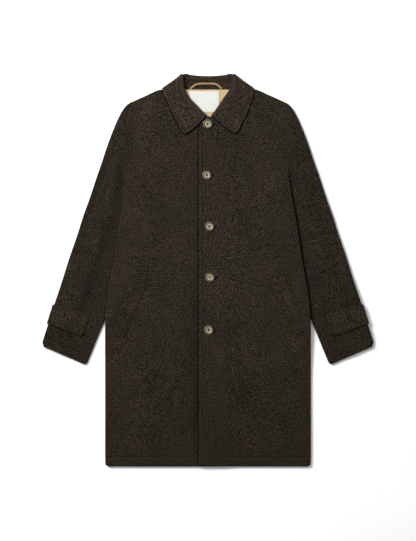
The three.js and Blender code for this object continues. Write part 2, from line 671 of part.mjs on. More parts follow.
function hangerLoop() {
  const route = new THREE.CatmullRomCurve3(LOOP_ROUTE.map((p) => new THREE.Vector3(p.x, p.y, 0)));
  const rows = 15;
  const columns = 3;
  const at = (i, j) => {
    const share = i / (rows - 1);
    const middle = route.getPoint(share);
    const way = route.getTangent(share);
    const sideways = (j / (columns - 1) - 0.5) * LOOP.width;
    const y = middle.y + way.x * -sideways;
    const rise = (ROLL_DEPTH - STRAP_LAYER) * ((y - LOOP.seamY) / LOOP.standHeight) ** 2;
    const z = STAND_BACK_Z + HALF + 2 * SEAM_GAP + LOOP.thickness / 2 + rise;
    return new THREE.Vector3(middle.x + way.y * sideways, y, z);
  };
  return clothWall(rows, columns, LOOP.thickness, (i, j) => at(rows - 1 - i, j));
}

// Buttons

const HOLE_RADIUS = 1.1;
const HOLE_PLACE = 2.6;

function solidOf(geometry) {
  geometry.deleteAttribute("normal");
  geometry.deleteAttribute("uv");
  const merged = mergeVertices(geometry, 1e-4);
  return new wasm.Manifold(
    new wasm.Mesh({
      numProp: 3,
      vertProperties: merged.attributes.position.array,
      triVerts: new Uint32Array(merged.index.array),
    }),
  );
}

function geometryOf(solid) {
  const mesh = solid.getMesh();
  const geometry = new THREE.BufferGeometry();
  geometry.setAttribute("position", new THREE.BufferAttribute(mesh.vertProperties, 3));
  geometry.setIndex(new THREE.BufferAttribute(mesh.triVerts, 1));
  return geometry;
}

// A dished button with a rounded rim and four holes, its underside on z = 0.
function button() {
  const profile = [
    [0, 0],
    [10.5, 0],
    [12.4, 0.8],
    [BUTTON_RADIUS, 2],
    [12.2, 3.4],
    [10.6, 3.9],
    [9, 3.3],
    [7.6, 2.7],
    [0, 2.5],
  ];
  const outline = profile.map(([r, z]) => new THREE.Vector2(r, z));
  let solid = solidOf(new THREE.LatheGeometry(outline, 20).rotateX(Math.PI / 2));
  if (solid.volume() < 0) throw new Error("the button's profile runs the wrong way");
  for (const [sx, sy] of [[1, 1], [1, -1], [-1, 1], [-1, -1]]) {
    const drill = new THREE.CylinderGeometry(HOLE_RADIUS, HOLE_RADIUS, 10, 8).rotateX(Math.PI / 2);
    drill.translate(sx * HOLE_PLACE, sy * HOLE_PLACE, 1);
    solid = solid.subtract(solidOf(drill));
  }
  return geometryOf(solid);
}

// Materials

const tweed = () => new THREE.MeshStandardMaterial({ color: 0x39322a, roughness: 0.95 });
const satin = () => new THREE.MeshStandardMaterial({ color: 0xd2a868, roughness: 0.45 });
const tape = () => new THREE.MeshStandardMaterial({ color: 0xe8e4da, roughness: 0.7 });
const horn = () => new THREE.MeshStandardMaterial({ color: 0x8d7250, roughness: 0.3 });

const coat = new THREE.Group();

function add(name, geometry, material, x = 0, y = 0, z = 0) {
  const mesh = new THREE.Mesh(geometry, material);
  mesh.name = name;
  mesh.position.set(x, y, z);
  coat.add(mesh);
}

add("back", back(), tweed());
for (const side of SIDES) {
  add("front_" + side.name, frontPieces[SIDES.indexOf(side)], tweed());
  add("sleeve_" + side.name, sleeve(side), tweed());
  add("cuff_strap_" + side.name, cuffStrap(side), tweed());
  add("pocket_welt_" + side.name, pocketWelt(side), tweed());
}
add("collar_stand", collarStrip("stand"), tweed());
add("collar_fall", collarStrip("fall"), tweed());
add("neck_lining", neckLining(), satin());
add("neck_label", neckLabel(), tape());
add("hanger_loop", hangerLoop(), satin());
BUTTONS.forEach((place, i) => {
  const rim = range(8).map((k) => (k / 4) * Math.PI);
  const under = rim.map((angle) => {
    const x = place.x + BUTTON_RADIUS * Math.cos(angle);
    return frontsTop(x, place.y + BUTTON_RADIUS * Math.sin(angle));
  });
  const z = Math.max(...under) + SEAM_GAP;
  add("button_" + (i + 1), button(), horn(), place.x, place.y, z);
});

export default coat;
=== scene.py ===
import math

import bmesh
import bpy
from bpy.props import BoolProperty, FloatProperty, FloatVectorProperty, PointerProperty
from mathutils import Matrix, Vector
from mathutils.bvhtree import BVHTree
from mathutils.kdtree import KDTree


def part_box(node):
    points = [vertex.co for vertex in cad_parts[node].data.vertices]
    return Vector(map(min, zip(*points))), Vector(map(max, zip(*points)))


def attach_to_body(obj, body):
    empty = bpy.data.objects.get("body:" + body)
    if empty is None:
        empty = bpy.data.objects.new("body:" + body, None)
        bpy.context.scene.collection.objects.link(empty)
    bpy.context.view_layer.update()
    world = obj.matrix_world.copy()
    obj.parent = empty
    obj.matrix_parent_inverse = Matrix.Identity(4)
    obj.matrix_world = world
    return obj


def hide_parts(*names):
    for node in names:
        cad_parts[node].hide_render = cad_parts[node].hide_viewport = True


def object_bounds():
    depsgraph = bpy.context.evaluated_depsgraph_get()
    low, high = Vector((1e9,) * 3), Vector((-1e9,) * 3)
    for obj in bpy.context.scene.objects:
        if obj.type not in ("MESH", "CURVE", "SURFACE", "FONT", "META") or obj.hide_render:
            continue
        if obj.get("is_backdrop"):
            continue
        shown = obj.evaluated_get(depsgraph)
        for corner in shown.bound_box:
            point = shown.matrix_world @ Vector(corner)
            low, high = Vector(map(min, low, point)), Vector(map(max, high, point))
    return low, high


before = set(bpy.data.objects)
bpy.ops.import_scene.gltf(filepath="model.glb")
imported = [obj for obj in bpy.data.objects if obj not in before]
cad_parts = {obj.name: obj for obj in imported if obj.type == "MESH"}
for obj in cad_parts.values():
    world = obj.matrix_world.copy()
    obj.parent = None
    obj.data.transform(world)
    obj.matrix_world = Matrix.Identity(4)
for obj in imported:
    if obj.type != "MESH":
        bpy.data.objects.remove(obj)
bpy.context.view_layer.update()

bl_info = {
    "name": "Long herringbone coat",
    "version": (1, 0, 0),
    "blender": (4, 5, 0),
    "location": "View3D > Sidebar > Coat",
    "description": "Dresses a tweed coat that lies flat: cloth, stitching, lining, buttons",
    "category": "Add Mesh",
}

MM = 0.001
BODY = "root"
SIDES = {"left": 1, "right": -1}
SHARP = math.radians(38)  # an edge that is bent further than this is a rim
CORNER = math.radians(30)  # a rim that turns further than this has a corner
FIT_ROUNDS = 3  # how often rounding is fitted to a piece's own points
FIT_SHARE = 0.8  # share of the error that one round of fitting takes away
UPWARD = 0.6  # a face belongs to the upper side above this Z of its normal
PRESSED = 0.5  # the same for the points that are pressed down
FOLD_BOW = 0.04  # how far a fold bows sideways, as a share of its length

# Height of the photo in pixels, and the size of one pixel on the coat
PHOTO_HEIGHT = 541
PIXEL = 2.8 * MM
CAMERA_HEIGHT = 5.0
SENSOR = 36.0
COAT_TOP = 0.011  # height of the cloth that the camera's scale is set on


# Soft folds of the fronts, in mm: x0, y0, x1, y1, half width, and height (a trough is negative)
BODY_FOLDS = (
    (-207, 430, -206, 336, 9, -0.9),
    (206, 420, 207, 345, 9, -0.8),
    (-150, 452, -182, 318, 20, 1.1),
    (152, 446, 176, 306, 22, 0.9),
    (-214, 268, -118, 168, 15, 1.2),
    (216, 262, 132, 150, 17, 1.0),
    (-226, 214, -160, 104, 12, 0.8),
    (92, 330, 74, 196, 24, 0.7),
    (-84, 318, -98, 210, 26, 0.8),
    (-236, 40, -130, 8, 18, 0.7),
    (240, 22, 150, 34, 16, 0.6),
    (-176, -214, -194, -548, 34, 1.2),
    (-92, -150, -78, -470, 30, 0.7),
    (118, -190, 132, -548, 36, 1.1),
    (216, -230, 222, -500, 22, 0.7),
)
# The same for the right sleeve; the left one has its own, and x is mirrored for it
SLEEVE_FOLDS = {
    "right": (
        (247, 358, 362, 18, 9, -3.0),
        (269, 156, 301, 0, 10, -2.2),
        (268, 372, 330, 170, 10, 1.1),
        (262, 250, 296, 130, 8, 1.0),
        (318, 150, 372, 40, 12, 0.9),
        (300, 60, 366, -40, 13, 0.8),
        (372, 6, 412, -84, 11, -0.7),
    ),
    "left": (
        (232, 318, 254, 208, 8, -0.9),
        (306, 206, 332, 100, 9, -0.9),
        (268, 300, 300, 166, 11, 0.9),
        (296, 120, 352, 6, 13, 0.9),
        (366, 60, 408, -60, 12, 0.7),
    ),
}
# Lighter and darker parts of the cloth, laid out like the folds; height is a share of the tone.
# They are partly the tone of the nap and partly painted light and shade
# Painted shade on the right front beside the free edge of the left one
PAINTED_SHADE_RIGHT_FRONT = (
    (-38, 380, -40, -545, 16, -0.17),
    (-46, 60, -56, -640, 30, -0.2),
)
# On every piece: the nap's tone, painted shade at the armhole, a painted highlight on the ridge
# beside it, and lit and shaded parts of the body and sleeves
NAP_AND_PAINTED_LIGHT = (
    (-170, -285, -140, -335, 48, -0.23),
    (84, -320, 104, -385, 30, -0.23),
    (0, -235, 70, -262, 28, 0.2),
    (30, -410, 60, -500, 26, 0.12),
    (-214, -70, -190, -110, 30, 0.23),
    (12, 380, 30, -200, 44, 0.14),
    (-112, 306, -140, 220, 26, -0.19),
    (102, 350, 108, 240, 15, -0.17),
    (-188, 456, -160, 436, 36, 0.2),
    (190, 440, 216, 420, 30, 0.12),
    (206, -60, 226, -110, 26, 0.17),
    (-262, 240, -366, -125, 15, -0.38),
    (-262, 300, -336, -60, 9, 0.23),
    (-222, 415, -232, 290, 10, -0.24),
    (-246, 320, -276, 150, 12, -0.2),
    (-376, -120, -420, -214, 30, -0.12),
    (330, 120, 380, -40, 26, 0.14),
    (404, -196, 446, -222, 22, 0.17),
)
# Pieces that lie on a node: the reach of their contact shade beside them in mm, and the share
# of it that is left out, which makes it fainter
COVERS = {
    "front_left": (("collar_fall", 6.5, 0.0),),
    "front_right": (("collar_fall", 6.5, 0.0), ("front_left", 7.0, 0.1)),
    "sleeve_left": (("front_left", 8.5, 0.0),),
    "sleeve_right": (("front_right", 16.0, 0.45),),
}
COVER_STEP = 1.0  # spacing of the rim points that distances are measured from
SHADE_END = 2.5  # share of the reach where the shade has surely ended
# Shade below the cuff strap: its lower edge, how far above it to stop, the reach, the end's fade
STRAP_EDGE = ((354, -183), (450, -148))
STRAP_STOP = 15
STRAP_REACH = 6.5
STRAP_FADE = 8
# A sleeve is sewn to the body above the underarm, so its shade fades out over this height
UNDERARM = 190
SEWN_HEIGHT = 110
SEWN_SHARE = 1.2
# Tweed pieces: the size that each is cut to in m, the turn of its weave in degrees, how light its
# tone is, and what it rests on
# The collar fall's higher tone is painted light: it stands for the stronger light on the collar
# near the top
CLOTH = {
    "back": ((0.585, 1.062), 0, 1.0, ()),
    "front_left": ((0.32, 1.062), 0, 1.0, ("front_right", "back")),
    "front_right": ((0.32, 1.062), 0, 1.0, ("back",)),
    "sleeve_left": ((0.33, 0.74), -18, 0.86, ()),
    "sleeve_right": ((0.33, 0.74), 18, 0.86, ()),
    "cuff_strap_left": ((0.058, 0.2), 66, 1.1, ("sleeve_left",)),
    "cuff_strap_right": ((0.058, 0.2), -66, 1.1, ("sleeve_right",)),
    "pocket_welt_left": ((0.056, 0.19), -24, 1.0, ("front_left",)),
    "pocket_welt_right": ((0.056, 0.19), 24, 1.0, ("front_right",)),
    "collar_stand": ((0.31, 0.036), 0, 1.1, ("back",)),
    "collar_fall": ((0.54, 0.12), 90, 1.27, ("front_left", "front_right")),
}
# Cuff edge of the sleeve on +X, from its inner to its outer corner
CUFF_EDGE = ((341, -266), (461, -214))
FRONT_EDGE = -26  # free edge of the left front
ARMHOLE_GAP = 4.6  # a sleeve is drawn to the body across this gap at most
ARMHOLE_END = 245  # and only above this height
ROLL_GAP = 4.5  # the stand is drawn to the fall across this gap at most
HEM = -550.5
V_BOTTOM = (3.0, 432.0)  # where the collar's leaves meet
# Lower edge of the lining: its place in CAD, the slope and top of the V, and how high it reaches up
LINING_END = 429.0
LINING_SLOPE = 0.8
LINING_RISE = 13.0
LINING_REACH = 17
# Collar leaves: where they start and how deep they are, their outer edge at the top and how far it
# runs in, and for the photo's left and right the roll line and how far each is drawn in and down
LEAF_TOP = 503.0
LEAF_DEPTH = 118.0
LEAF_OUTER = 127
LEAF_TAPER = 49
LEAF_PAST = 1.05  # the leaf's tip lies this far down at most, as a share of the depth
LEAF_OUT = 1.1  # and the outer edge this far out, as a share of the width
LEAVES = {
    "left": {"inner": 2.0, "slope": 0.82, "draw": 22.0, "drop": 5.0},
    "right": {"inner": 8.0, "slope": 0.66, "draw": 8.5, "drop": 1.5},
}


def both_sides(nodes, x, y, radius, shift_x, shift_y):
    """The same nudge at x and at -x, mirrored."""
    return tuple((nodes, (sign * x, y), radius, (sign * shift_x, shift_y)) for sign in (-1, 1))


# Places in mm where the outline of some nodes is shifted: nodes, place, radius and shift
NUDGES = (
    *both_sides(("collar",), 72, 550, 16, -1.0, 3.2),
    (("collar_fall",), (-54, 490), 22, (-4.0, 0.0)),
    *both_sides(("back", "front"), 137, 503, 16, 0.0, 2.8),
    *both_sides(("back", "front"), 226, 261, 14, 2.2, 0.0),
)
# Corners that are square in CAD and round in the photo, by the two ways out of the piece there
ROUND_CORNERS = {
    "back": (((1, 0), (0, -1)), ((-1, 0), (0, -1))),
    "front_left": (((1, 0), (0, -1)),),
    "front_right": (((-1, 0), (0, -1)),),
    "sleeve_left": (((-0.918, -0.398), (0.398, -0.918)),),
    "sleeve_right": (((0.918, -0.398), (-0.398, -0.918)),),
}
CORNER_RADIUS = 8.5
# The dip of the right front beside the left one's free edge
GUTTER = {"shift": 2, "width": 6, "depth": 1.5, "top": 400, "fade": 30}
# Height in mm where a sleeve's upper layer begins, and the height over which the folds set in
UPPER_LAYER = 3.2
UPPER_FADE = 2.4
MITRE = 0.5  # a turn of a row of stitches is drawn out to 1 / this at most
STITCH_RISE = 0.15  # how far a stitch's middle stands above the cloth, as a share of its height
SEAM_REACH = 12.0  # further than this from a row of stitches the cloth lies undisturbed
STITCH = {"pitch": 4.4, "length": 3.3, "width": 0.75, "height": 0.5}


# Mesh helpers


def cad_copy(node):
    """A merged copy of a CAD node's mesh with its triangles joined to quads."""
    bm = bmesh.new()
    bm.from_mesh(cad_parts[node].data)
    bmesh.ops.remove_doubles(bm, verts=bm.verts, dist=0.002 * MM)
    bmesh.ops.join_triangles(
        bm, faces=bm.faces, angle_face_threshold=SHARP, angle_shape_threshold=math.pi
    )
    if node == "collar_fall":
        draw_in_leaves(bm)
    nudge(bm, node)
    return bm


def draw_in_leaves(bm):
    """Draws the collar's leaves inward as in the photo; roll lines and tops stay in place."""
    for vert in bm.verts:
        x, y = vert.co.x / MM, vert.co.y / MM
        if y > LEAF_TOP:
            continue
        leaf = LEAVES["left" if x < 0 else "right"]
        down = min((LEAF_TOP - y) / LEAF_DEPTH, LEAF_PAST)
        roll = max(leaf["inner"], leaf["inner"] + leaf["slope"] * (y - V_BOTTOM[1]))
        outer = LEAF_OUTER - LEAF_TAPER * down
        out = min(max((abs(x) - roll) / (outer - roll), 0.0), LEAF_OUT)
        inward = leaf["draw"] * down * (LEAF_PAST - down) * out
        vert.co.x += (inward if x < 0 else -inward) * MM
        vert.co.y -= leaf["drop"] * down * out * MM


def nudge(bm, node):
    """Shifts a node's outline by a few mm where the photo's differs."""
    nudges = [item[1:] for item in NUDGES if node.startswith(item[0])]
    for vert in bm.verts:
        place = Vector((vert.co.x / MM, vert.co.y / MM))
        shift = Vector((0.0, 0.0))
        for centre, radius, way in nudges:
            distance = (place - Vector(centre)).length / radius
            shift += Vector(way) * math.exp(-(distance**2))
        vert.co += Vector((shift.x, shift.y, 0)) * MM


def is_rim(edge):
    """True for an edge between a cloth's face and its cut or folded rim."""
    return len(edge.link_faces) == 2 and edge.calc_face_angle() > SHARP


def crease_rims(bm):
    """Keeps the rims and their sharp corners when a piece is rounded by subdivision."""
    edges = bm.edges.layers.float.new("crease_edge")
    corners = bm.verts.layers.float.new("crease_vert")
    for edge in bm.edges:
        if is_rim(edge):
            edge[edges] = 1.0
    for vert in bm.verts:
        rims = [e.other_vert(vert).co - vert.co for e in vert.link_edges if is_rim(e)]
        if len(rims) == 2 and rims[0].angle(-rims[1]) > CORNER:
            vert[corners] = 1.0


def object_from(bm, name, material):
    """Makes an object of a bmesh, smooth shaded, and frees the bmesh."""
    mesh = bpy.data.meshes.new(name)
    for face in bm.faces:
        face.smooth = True
    bm.to_mesh(mesh)
    bm.free()
    mesh.materials.append(material)
    piece = bpy.data.objects.new(name, mesh)
    bpy.context.scene.collection.objects.link(piece)
    return piece


def apply_modifiers(piece):
    """Replaces a piece's mesh by its evaluated one and drops the modifiers."""
    graph = bpy.context.evaluated_depsgraph_get()
    made = bpy.data.meshes.new_from_object(piece.evaluated_get(graph))
    old = piece.data
    piece.modifiers.clear()
    piece.data = made
    made.name = piece.name
    bpy.data.meshes.remove(old)


def subdivide(piece, levels, simple=False):
    """Rounds a piece by subdivision, and keeps its own points where they are."""
    aims = [v.co.copy() for v in piece.data.vertices]
    subdivision = piece.modifiers.new("rounding", "SUBSURF")
    subdivision.levels = levels
    subdivision.render_levels = levels
    if simple:
        subdivision.subdivision_type = "SIMPLE"
    for _ in range(0 if simple else FIT_ROUNDS):
        graph = bpy.context.evaluated_depsgraph_get()
        rounded = piece.evaluated_get(graph).data.vertices
        shifts = [aim - rounded[k].co for k, aim in enumerate(aims)]
        for vertex, shift in zip(piece.data.vertices, shifts):
            vertex.co += shift * FIT_SHARE
        piece.data.update()
    apply_modifiers(piece)


def soften_rims(piece, width):
    """Rounds the long rims of a wall, as folded cloth is."""
    bm = bmesh.new()
    bm.from_mesh(piece.data)
    rims = [e for e in bm.edges if is_rim(e)]
    shape = {"segments": 2, "profile": 0.5, "material": -1, "clamp_overlap": True}
    bmesh.ops.bevel(bm, geom=rims, offset=width, offset_type="OFFSET", affect="EDGES", **shape)
    for face in bm.faces:
        face.smooth = True
    bm.to_mesh(piece.data)
    bm.free()


def round_corner(piece, ways, radius):
    """Turns a square corner of a piece's outline into an arc."""
    ways = [Vector(way) for way in ways]
    outward = ways[0] + ways[1]
    corner = max((v.co.xy.copy() for v in piece.data.vertices), key=lambda p: p @ outward)
    for vertex in piece.data.vertices:
        u, v = (1 + (vertex.co.xy - corner) @ way / radius for way in ways)
        if min(u, v) <= 0:
            continue
        u, v = min(u, 1.0), min(v, 1.0)
        inward_u = u * math.sqrt(1 - v * v / 2) - u
        inward_v = v * math.sqrt(1 - u * u / 2) - v
        vertex.co.xy += (ways[0] * inward_u + ways[1] * inward_v) * radius
    piece.data.update()


def press(piece, depth):
    """Lowers the upper side of a piece, which leaves it thinner."""
    for vertex in piece.data.vertices:
        if vertex.normal.z > PRESSED:
            vertex.co.z -= depth
    piece.data.update()


def ease(t):
    """Rises smoothly from 0 to 1 as t does."""
    t = min(max(t, 0.0), 1.0)
    return t * t * (3 - 2 * t)


def fold_height(folds, x, y):
    """Height in metres of a set of soft folds at a place in mm."""
    total = 0.0
    for x0, y0, x1, y1, width, height in folds:
        dx, dy = x1 - x0, y1 - y0
        length = math.hypot(dx, dy)
        along = ((x - x0) * dx + (y - y0) * dy) / length**2
        if not 0 < along < 1:
            continue
        bow = FOLD_BOW * length * math.sin(math.pi * along)
        across = ((x - x0) * dy - (y - y0) * dx) / length + bow
        fade = ease(3 * along) * ease(3 * (1 - along))
        total += height * fade * math.exp(-((across / width) ** 2))
    return total * MM


def lay_folds(piece, lift):
    """Moves a piece's points up or down by lift(x, y, z), in mm and metres."""
    for vertex in piece.data.vertices:
        co = vertex.co
        co.z += lift(co.x / MM, co.y / MM, co.z)
    piece.data.update()


def body_lift(x, y, z):
    return fold_height(BODY_FOLDS, x, y)


def right_front_lift(x, y, z):
    """The right front dips beside the free edge of the left one."""
    dip = math.exp(-(((x - FRONT_EDGE + GUTTER["shift"]) / GUTTER["width"]) ** 2))
    below = ease((GUTTER["top"] - y) / GUTTER["fade"])
    return body_lift(x, y, z) - GUTTER["depth"] * dip * below * MM


def sleeve_lift(side):
    """The folds of one sleeve move only its upper layer."""
    sign = SIDES[side]

    def lift(x, y, z):
        upper = ease((z / MM - UPPER_LAYER) / UPPER_FADE)
        return upper * fold_height(SLEEVE_FOLDS[side], sign * x, y)

    return lift


LIFTS = {
    "front_left": body_lift,
    "front_right": right_front_lift,
    "pocket_welt_left": body_lift,
    "pocket_welt_right": body_lift,
    "sleeve_left": sleeve_lift("left"),
    "sleeve_right": sleeve_lift("right"),
    "cuff_strap_left": sleeve_lift("left"),
    "cuff_strap_right": sleeve_lift("right"),
}


def cuff_normal(sign):
    """The way from the cuff's edge up the sleeve, in the plane of the floor."""
    (x0, y0), (x1, y1) = CUFF_EDGE
    way = Vector((sign * (x1 - x0), y1 - y0)).normalized()
    return Vector((-sign * way.y, sign * way.x))


def hem_seam(x, y):
    return y - HEM - sizes().hem_depth / MM


def front_seam(x, y):
    return x - FRONT_EDGE - sizes().edge_stitch / MM


def cuff_seam(sign):
    def distance(x, y):
        corner = Vector((sign * CUFF_EDGE[0][0], CUFF_EDGE[0][1]))
        return (Vector((x, y)) - corner).dot(cuff_normal(sign)) - sizes().hem_depth / MM

    return distance


def rim_seam(node, inset):
    """Distance to the row of stitches that follows a node's outline at an inset."""
    runs = [piece for run in upper_rims(node) for piece in run]

    def distance(x, y):
        place = Vector((x, y))
        nearest = math.inf
        for a, b, _ in runs:
            way = b - a
            share = (place - a).dot(way) / max(way.length_squared, 1e-9)
            nearest = min(nearest, (a + way * min(max(share, 0.0), 1.0) - place).length)
        return nearest - inset

    return distance


def seams_of(node):
    """The rows of stitches of a piece, each as a function of distance in mm."""
    side = SIDES.get(node.split("_")[-1], 0)
    if node in ("back", "front_right"):
        return [hem_seam]
    if node == "front_left":
        return [hem_seam, front_seam]
    if node.startswith("sleeve"):
        return [cuff_seam(side)]
    if node.startswith(("pocket_welt", "cuff_strap")):
        return [rim_seam(node, sizes().welt_stitch / MM)]
    if node == "collar_fall":
        return [rim_seam(node, sizes().top_stitch / MM)]
    return []


def store(piece, name, values):
    """Keeps a value for each point of a piece, which its material reads."""
    mark = piece.data.attributes.new(name, "FLOAT", "POINT")
    mark.data.foreach_set("value", values)


def mark_seams(piece, node):
    """Stores the distance to the nearest row of stitches on each point, for the material."""
    seams = seams_of(node)
    values = []
    for vertex in piece.data.vertices:
        place = vertex.co / MM
        distances = [seam(place.x, place.y) for seam in seams] or [SEAM_REACH]
        nearest = min(distances, key=abs)
        values.append(max(-SEAM_REACH, min(SEAM_REACH, nearest)))
    store(piece, "seam", values)


def rim_points(node):
    """Points along a node's upper rims, close enough to measure a distance from."""
    points = []
    for run in upper_rims(node):
        for a, b, _ in run:
            count = max(1, int((b - a).length / COVER_STEP))
            points += [a.lerp(b, k / count) for k in range(count)]
    return points


def cover_distance(node):
    """A function of the distance outside a node's outline in mm, negative beneath the node."""
    points = rim_points(node)
    near = KDTree(len(points))
    for k, point in enumerate(points):
        near.insert((point.x, point.y, 0), k)
    near.balance()
    bm = cad_copy(node)
    tree = BVHTree.FromBMesh(bm)
    bm.free()

    def distance(x, y):
        inside = set_down(tree, x, y)[0] is not None
        return near.find((x, y, 0))[2] * (-1 if inside else 1)

    return distance


def strap_share(x, y):
    """Share of the reach below the lower edge of the cuff strap; nothing above the strap."""
    (x0, y0), (x1, y1) = STRAP_EDGE
    below = y0 + (abs(x) - x0) * (y1 - y0) / (x1 - x0) - y
    if below < -STRAP_STOP:
        return SHADE_END
    return below / STRAP_REACH + max(x0 - abs(x), 0.0) / STRAP_FADE


def body_share(distance, reach, x, y, sewn):
    """Share of the reach beside a piece of the body, which fades where a sleeve is sewn on."""
    open_part = max(distance(x, y) / reach, -SHADE_END / 2)
    return open_part + (SEWN_SHARE * ease((y - UNDERARM) / SEWN_HEIGHT) if sewn else 0.0)


def mark_shade(piece, node):
    """Stores the painted shade beside the pieces above, and the nap's tone with painted light and
    shade, on each point.
    """
    covers = [(cover_distance(name), reach, faint) for name, reach, faint in COVERS.get(node, ())]
    parts = (PAINTED_SHADE_RIGHT_FRONT if node == "front_right" else ()) + NAP_AND_PAINTED_LIGHT
    sleeve = node.startswith("sleeve")
    shades = []
    nap_and_painted_light_values = []
    for vertex in piece.data.vertices:
        x, y = vertex.co.x / MM, vertex.co.y / MM
        shares = [SHADE_END]
        for distance, reach, faint in covers:
            shares.append(body_share(distance, reach, x, y, sleeve) + faint)
        if sleeve:
            shares.append(strap_share(x, y))
        shades.append(max(-SHADE_END, min(shares)))
        nap_and_painted_light_values.append(fold_height(parts, x, y) / MM)
    store(piece, "cover", shades)
    store(piece, "nap_and_painted_light", nap_and_painted_light_values)


def meet(piece, other, reach, lowest=-1.0):
    """Draws a piece's points to the surface of another one that they nearly touch."""
    tree = surface_of(other)
    for vertex in piece.data.vertices:
        if vertex.co.y < lowest:
            continue
        place, _, _, distance = tree.find_nearest(vertex.co, reach)
        if place is not None:
            vertex.co = vertex.co.lerp(place, 1 - ease(distance / reach))
    piece.data.update()


def attach(piece, node=None):
    """Ties a piece to the body, and hides the CAD node that it stands for."""
    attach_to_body(piece, BODY)
    if node:
        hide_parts(node)


def declare_cloth(piece, node):
    """Attaches a sheet to the body and hides the CAD node that it stands for."""
    attach(piece, node)


# Material helpers

# Width of the groove along a row of stitches, which is bumped and painted darker as shade, and
# place and width of the painted highlight on the ridge beside it, in mm
GROOVE_WIDTH = 2.4
RIDGE_HIGHLIGHT_PLACE = 3.4
RIDGE_HIGHLIGHT_WIDTH = 2.8
SHADE_SLOPE = 1.5  # how steeply the shade beside a piece above sets in


class Nodes:
    """A short way to add shader nodes and wire them."""

    def __init__(self, name):
        self.material = bpy.data.materials.new(name)
        self.material.use_nodes = True
        self.tree = self.material.node_tree
        self.shader = self.tree.nodes["Principled BSDF"]

    def add(self, kind, **values):
        node = self.tree.nodes.new(kind)
        for key, value in values.items():
            setattr(node, key, value)
        return node

    def wire(self, source, target):
        self.tree.links.new(source, target)

    def math(self, operation, a, b=None, clamp=False):
        node = self.add("ShaderNodeMath", operation=operation, use_clamp=clamp)
        for socket, value in zip(node.inputs, (a, b)):
            if value is None:
                continue
            if isinstance(value, (int, float)):
                socket.default_value = value
            else:
                self.wire(value, socket)
        return node.outputs[0]

    def scale_add(self, value, factor, offset):
        result = self.math("MULTIPLY_ADD", value, factor)
        result.node.inputs[2].default_value = offset
        return result

    def wave(self, value, pitch):
        """A sine with its pitch in mm."""
        return self.math("SINE", self.math("MULTIPLY", value, 2 * math.pi / pitch))

    def near(self, distance, reach):
        """1 where a distance is 0, falling to 0 at the reach."""
        return self.math("SUBTRACT", 1.0, self.math("DIVIDE", distance, reach), True)

    def inside(self, distance, edge, blur):
        """1 well inside an edge, falling to 0 at it."""
        return self.math("DIVIDE", self.math("SUBTRACT", edge, distance), blur, True)

    def attribute(self, name):
        return self.add("ShaderNodeAttribute", attribute_name=name).outputs["Fac"]

    def noise(self, vector, scale, detail=3.0, roughness=0.55):
        node = self.add("ShaderNodeTexNoise")
        node.inputs["Scale"].default_value = scale
        node.inputs["Detail"].default_value = detail
        node.inputs["Roughness"].default_value = roughness
        self.wire(vector, node.inputs["Vector"])
        return node.outputs["Fac"]

    def centred_noise(self, vector, scale, detail):
        return self.math("SUBTRACT", self.noise(vector, scale, detail, 0.6), 0.5)

    def total(self, *terms):
        """The weighted sum of several values."""
        total = None
        for value, weight in terms:
            part = self.math("MULTIPLY", value, weight)
            total = part if total is None else self.math("ADD", total, part)
        return total

    def ramp(self, factor, *stops):
        node = self.add("ShaderNodeValToRGB")
        elements = node.color_ramp.elements
        while len(elements) < len(stops):
            elements.new(0.5)
        for element, (place, color) in zip(elements, stops):
            element.position = place
            element.color = (*color, 1.0)
        self.wire(factor, node.inputs["Fac"])
        return node.outputs["Color"]

    def mix(self, factor, a, b, blend="MIX"):
        node = self.add("ShaderNodeMix", data_type="RGBA", blend_type=blend)
        if isinstance(factor, (int, float)):
            node.inputs[0].default_value = factor
        else:
            self.wire(factor, node.inputs[0])
        for socket, value in ((node.inputs[6], a), (node.inputs[7], b)):
            if isinstance(value, tuple):
                socket.default_value = (*value, 1.0)
            else:
                self.wire(value, socket)
        return node.outputs[2]

    def multiply(self, color, other, factor=1.0):
        return self.mix(factor, color, other, "MULTIPLY")

    def tint(self, color, amount, share, other):
        """Mixes another colour in where an amount is high, by at most a share."""
        return self.mix(self.math("MULTIPLY", amount, share), color, other)

    def paint(self, color):
        self.wire(color, self.shader.inputs["Base Color"])

    def bump(self, height, strength, distance):
        node = self.add("ShaderNodeBump")
        node.inputs["Strength"].default_value = strength
        node.inputs["Distance"].default_value = distance
        self.wire(height, node.inputs["Height"])
        self.wire(node.outputs["Normal"], self.shader.inputs["Normal"])

    def shift(self, vector, amount):
        node = self.add("ShaderNodeVectorMath", operation="ADD")
        node.inputs[1].default_value = amount
        self.wire(vector, node.inputs[0])
        return node.outputs[0]

    def set(self, **values):
        for name, value in values.items():
            self.shader.inputs[name.replace("_", " ")].default_value = value


def millimetres(nodes, turn=0.0):
    """Object coordinates in mm, turned about Z in degrees: the place, and its X and Y."""
    place = nodes.add("ShaderNodeTexCoord").outputs["Object"]
    mapping = nodes.add("ShaderNodeMapping")
    mapping.inputs["Rotation"].default_value = (0, 0, math.radians(turn))
    mapping.inputs["Scale"].default_value = (1 / MM,) * 3
    nodes.wire(place, mapping.inputs["Vector"])
    split = nodes.add("ShaderNodeSeparateXYZ")
    nodes.wire(mapping.outputs["Vector"], split.inputs["Vector"])
    return mapping.outputs["Vector"], split.outputs["X"], split.outputs["Y"]


def scaled(color, factor):
    """A colour made lighter or darker."""
    return tuple(channel * factor for channel in color)


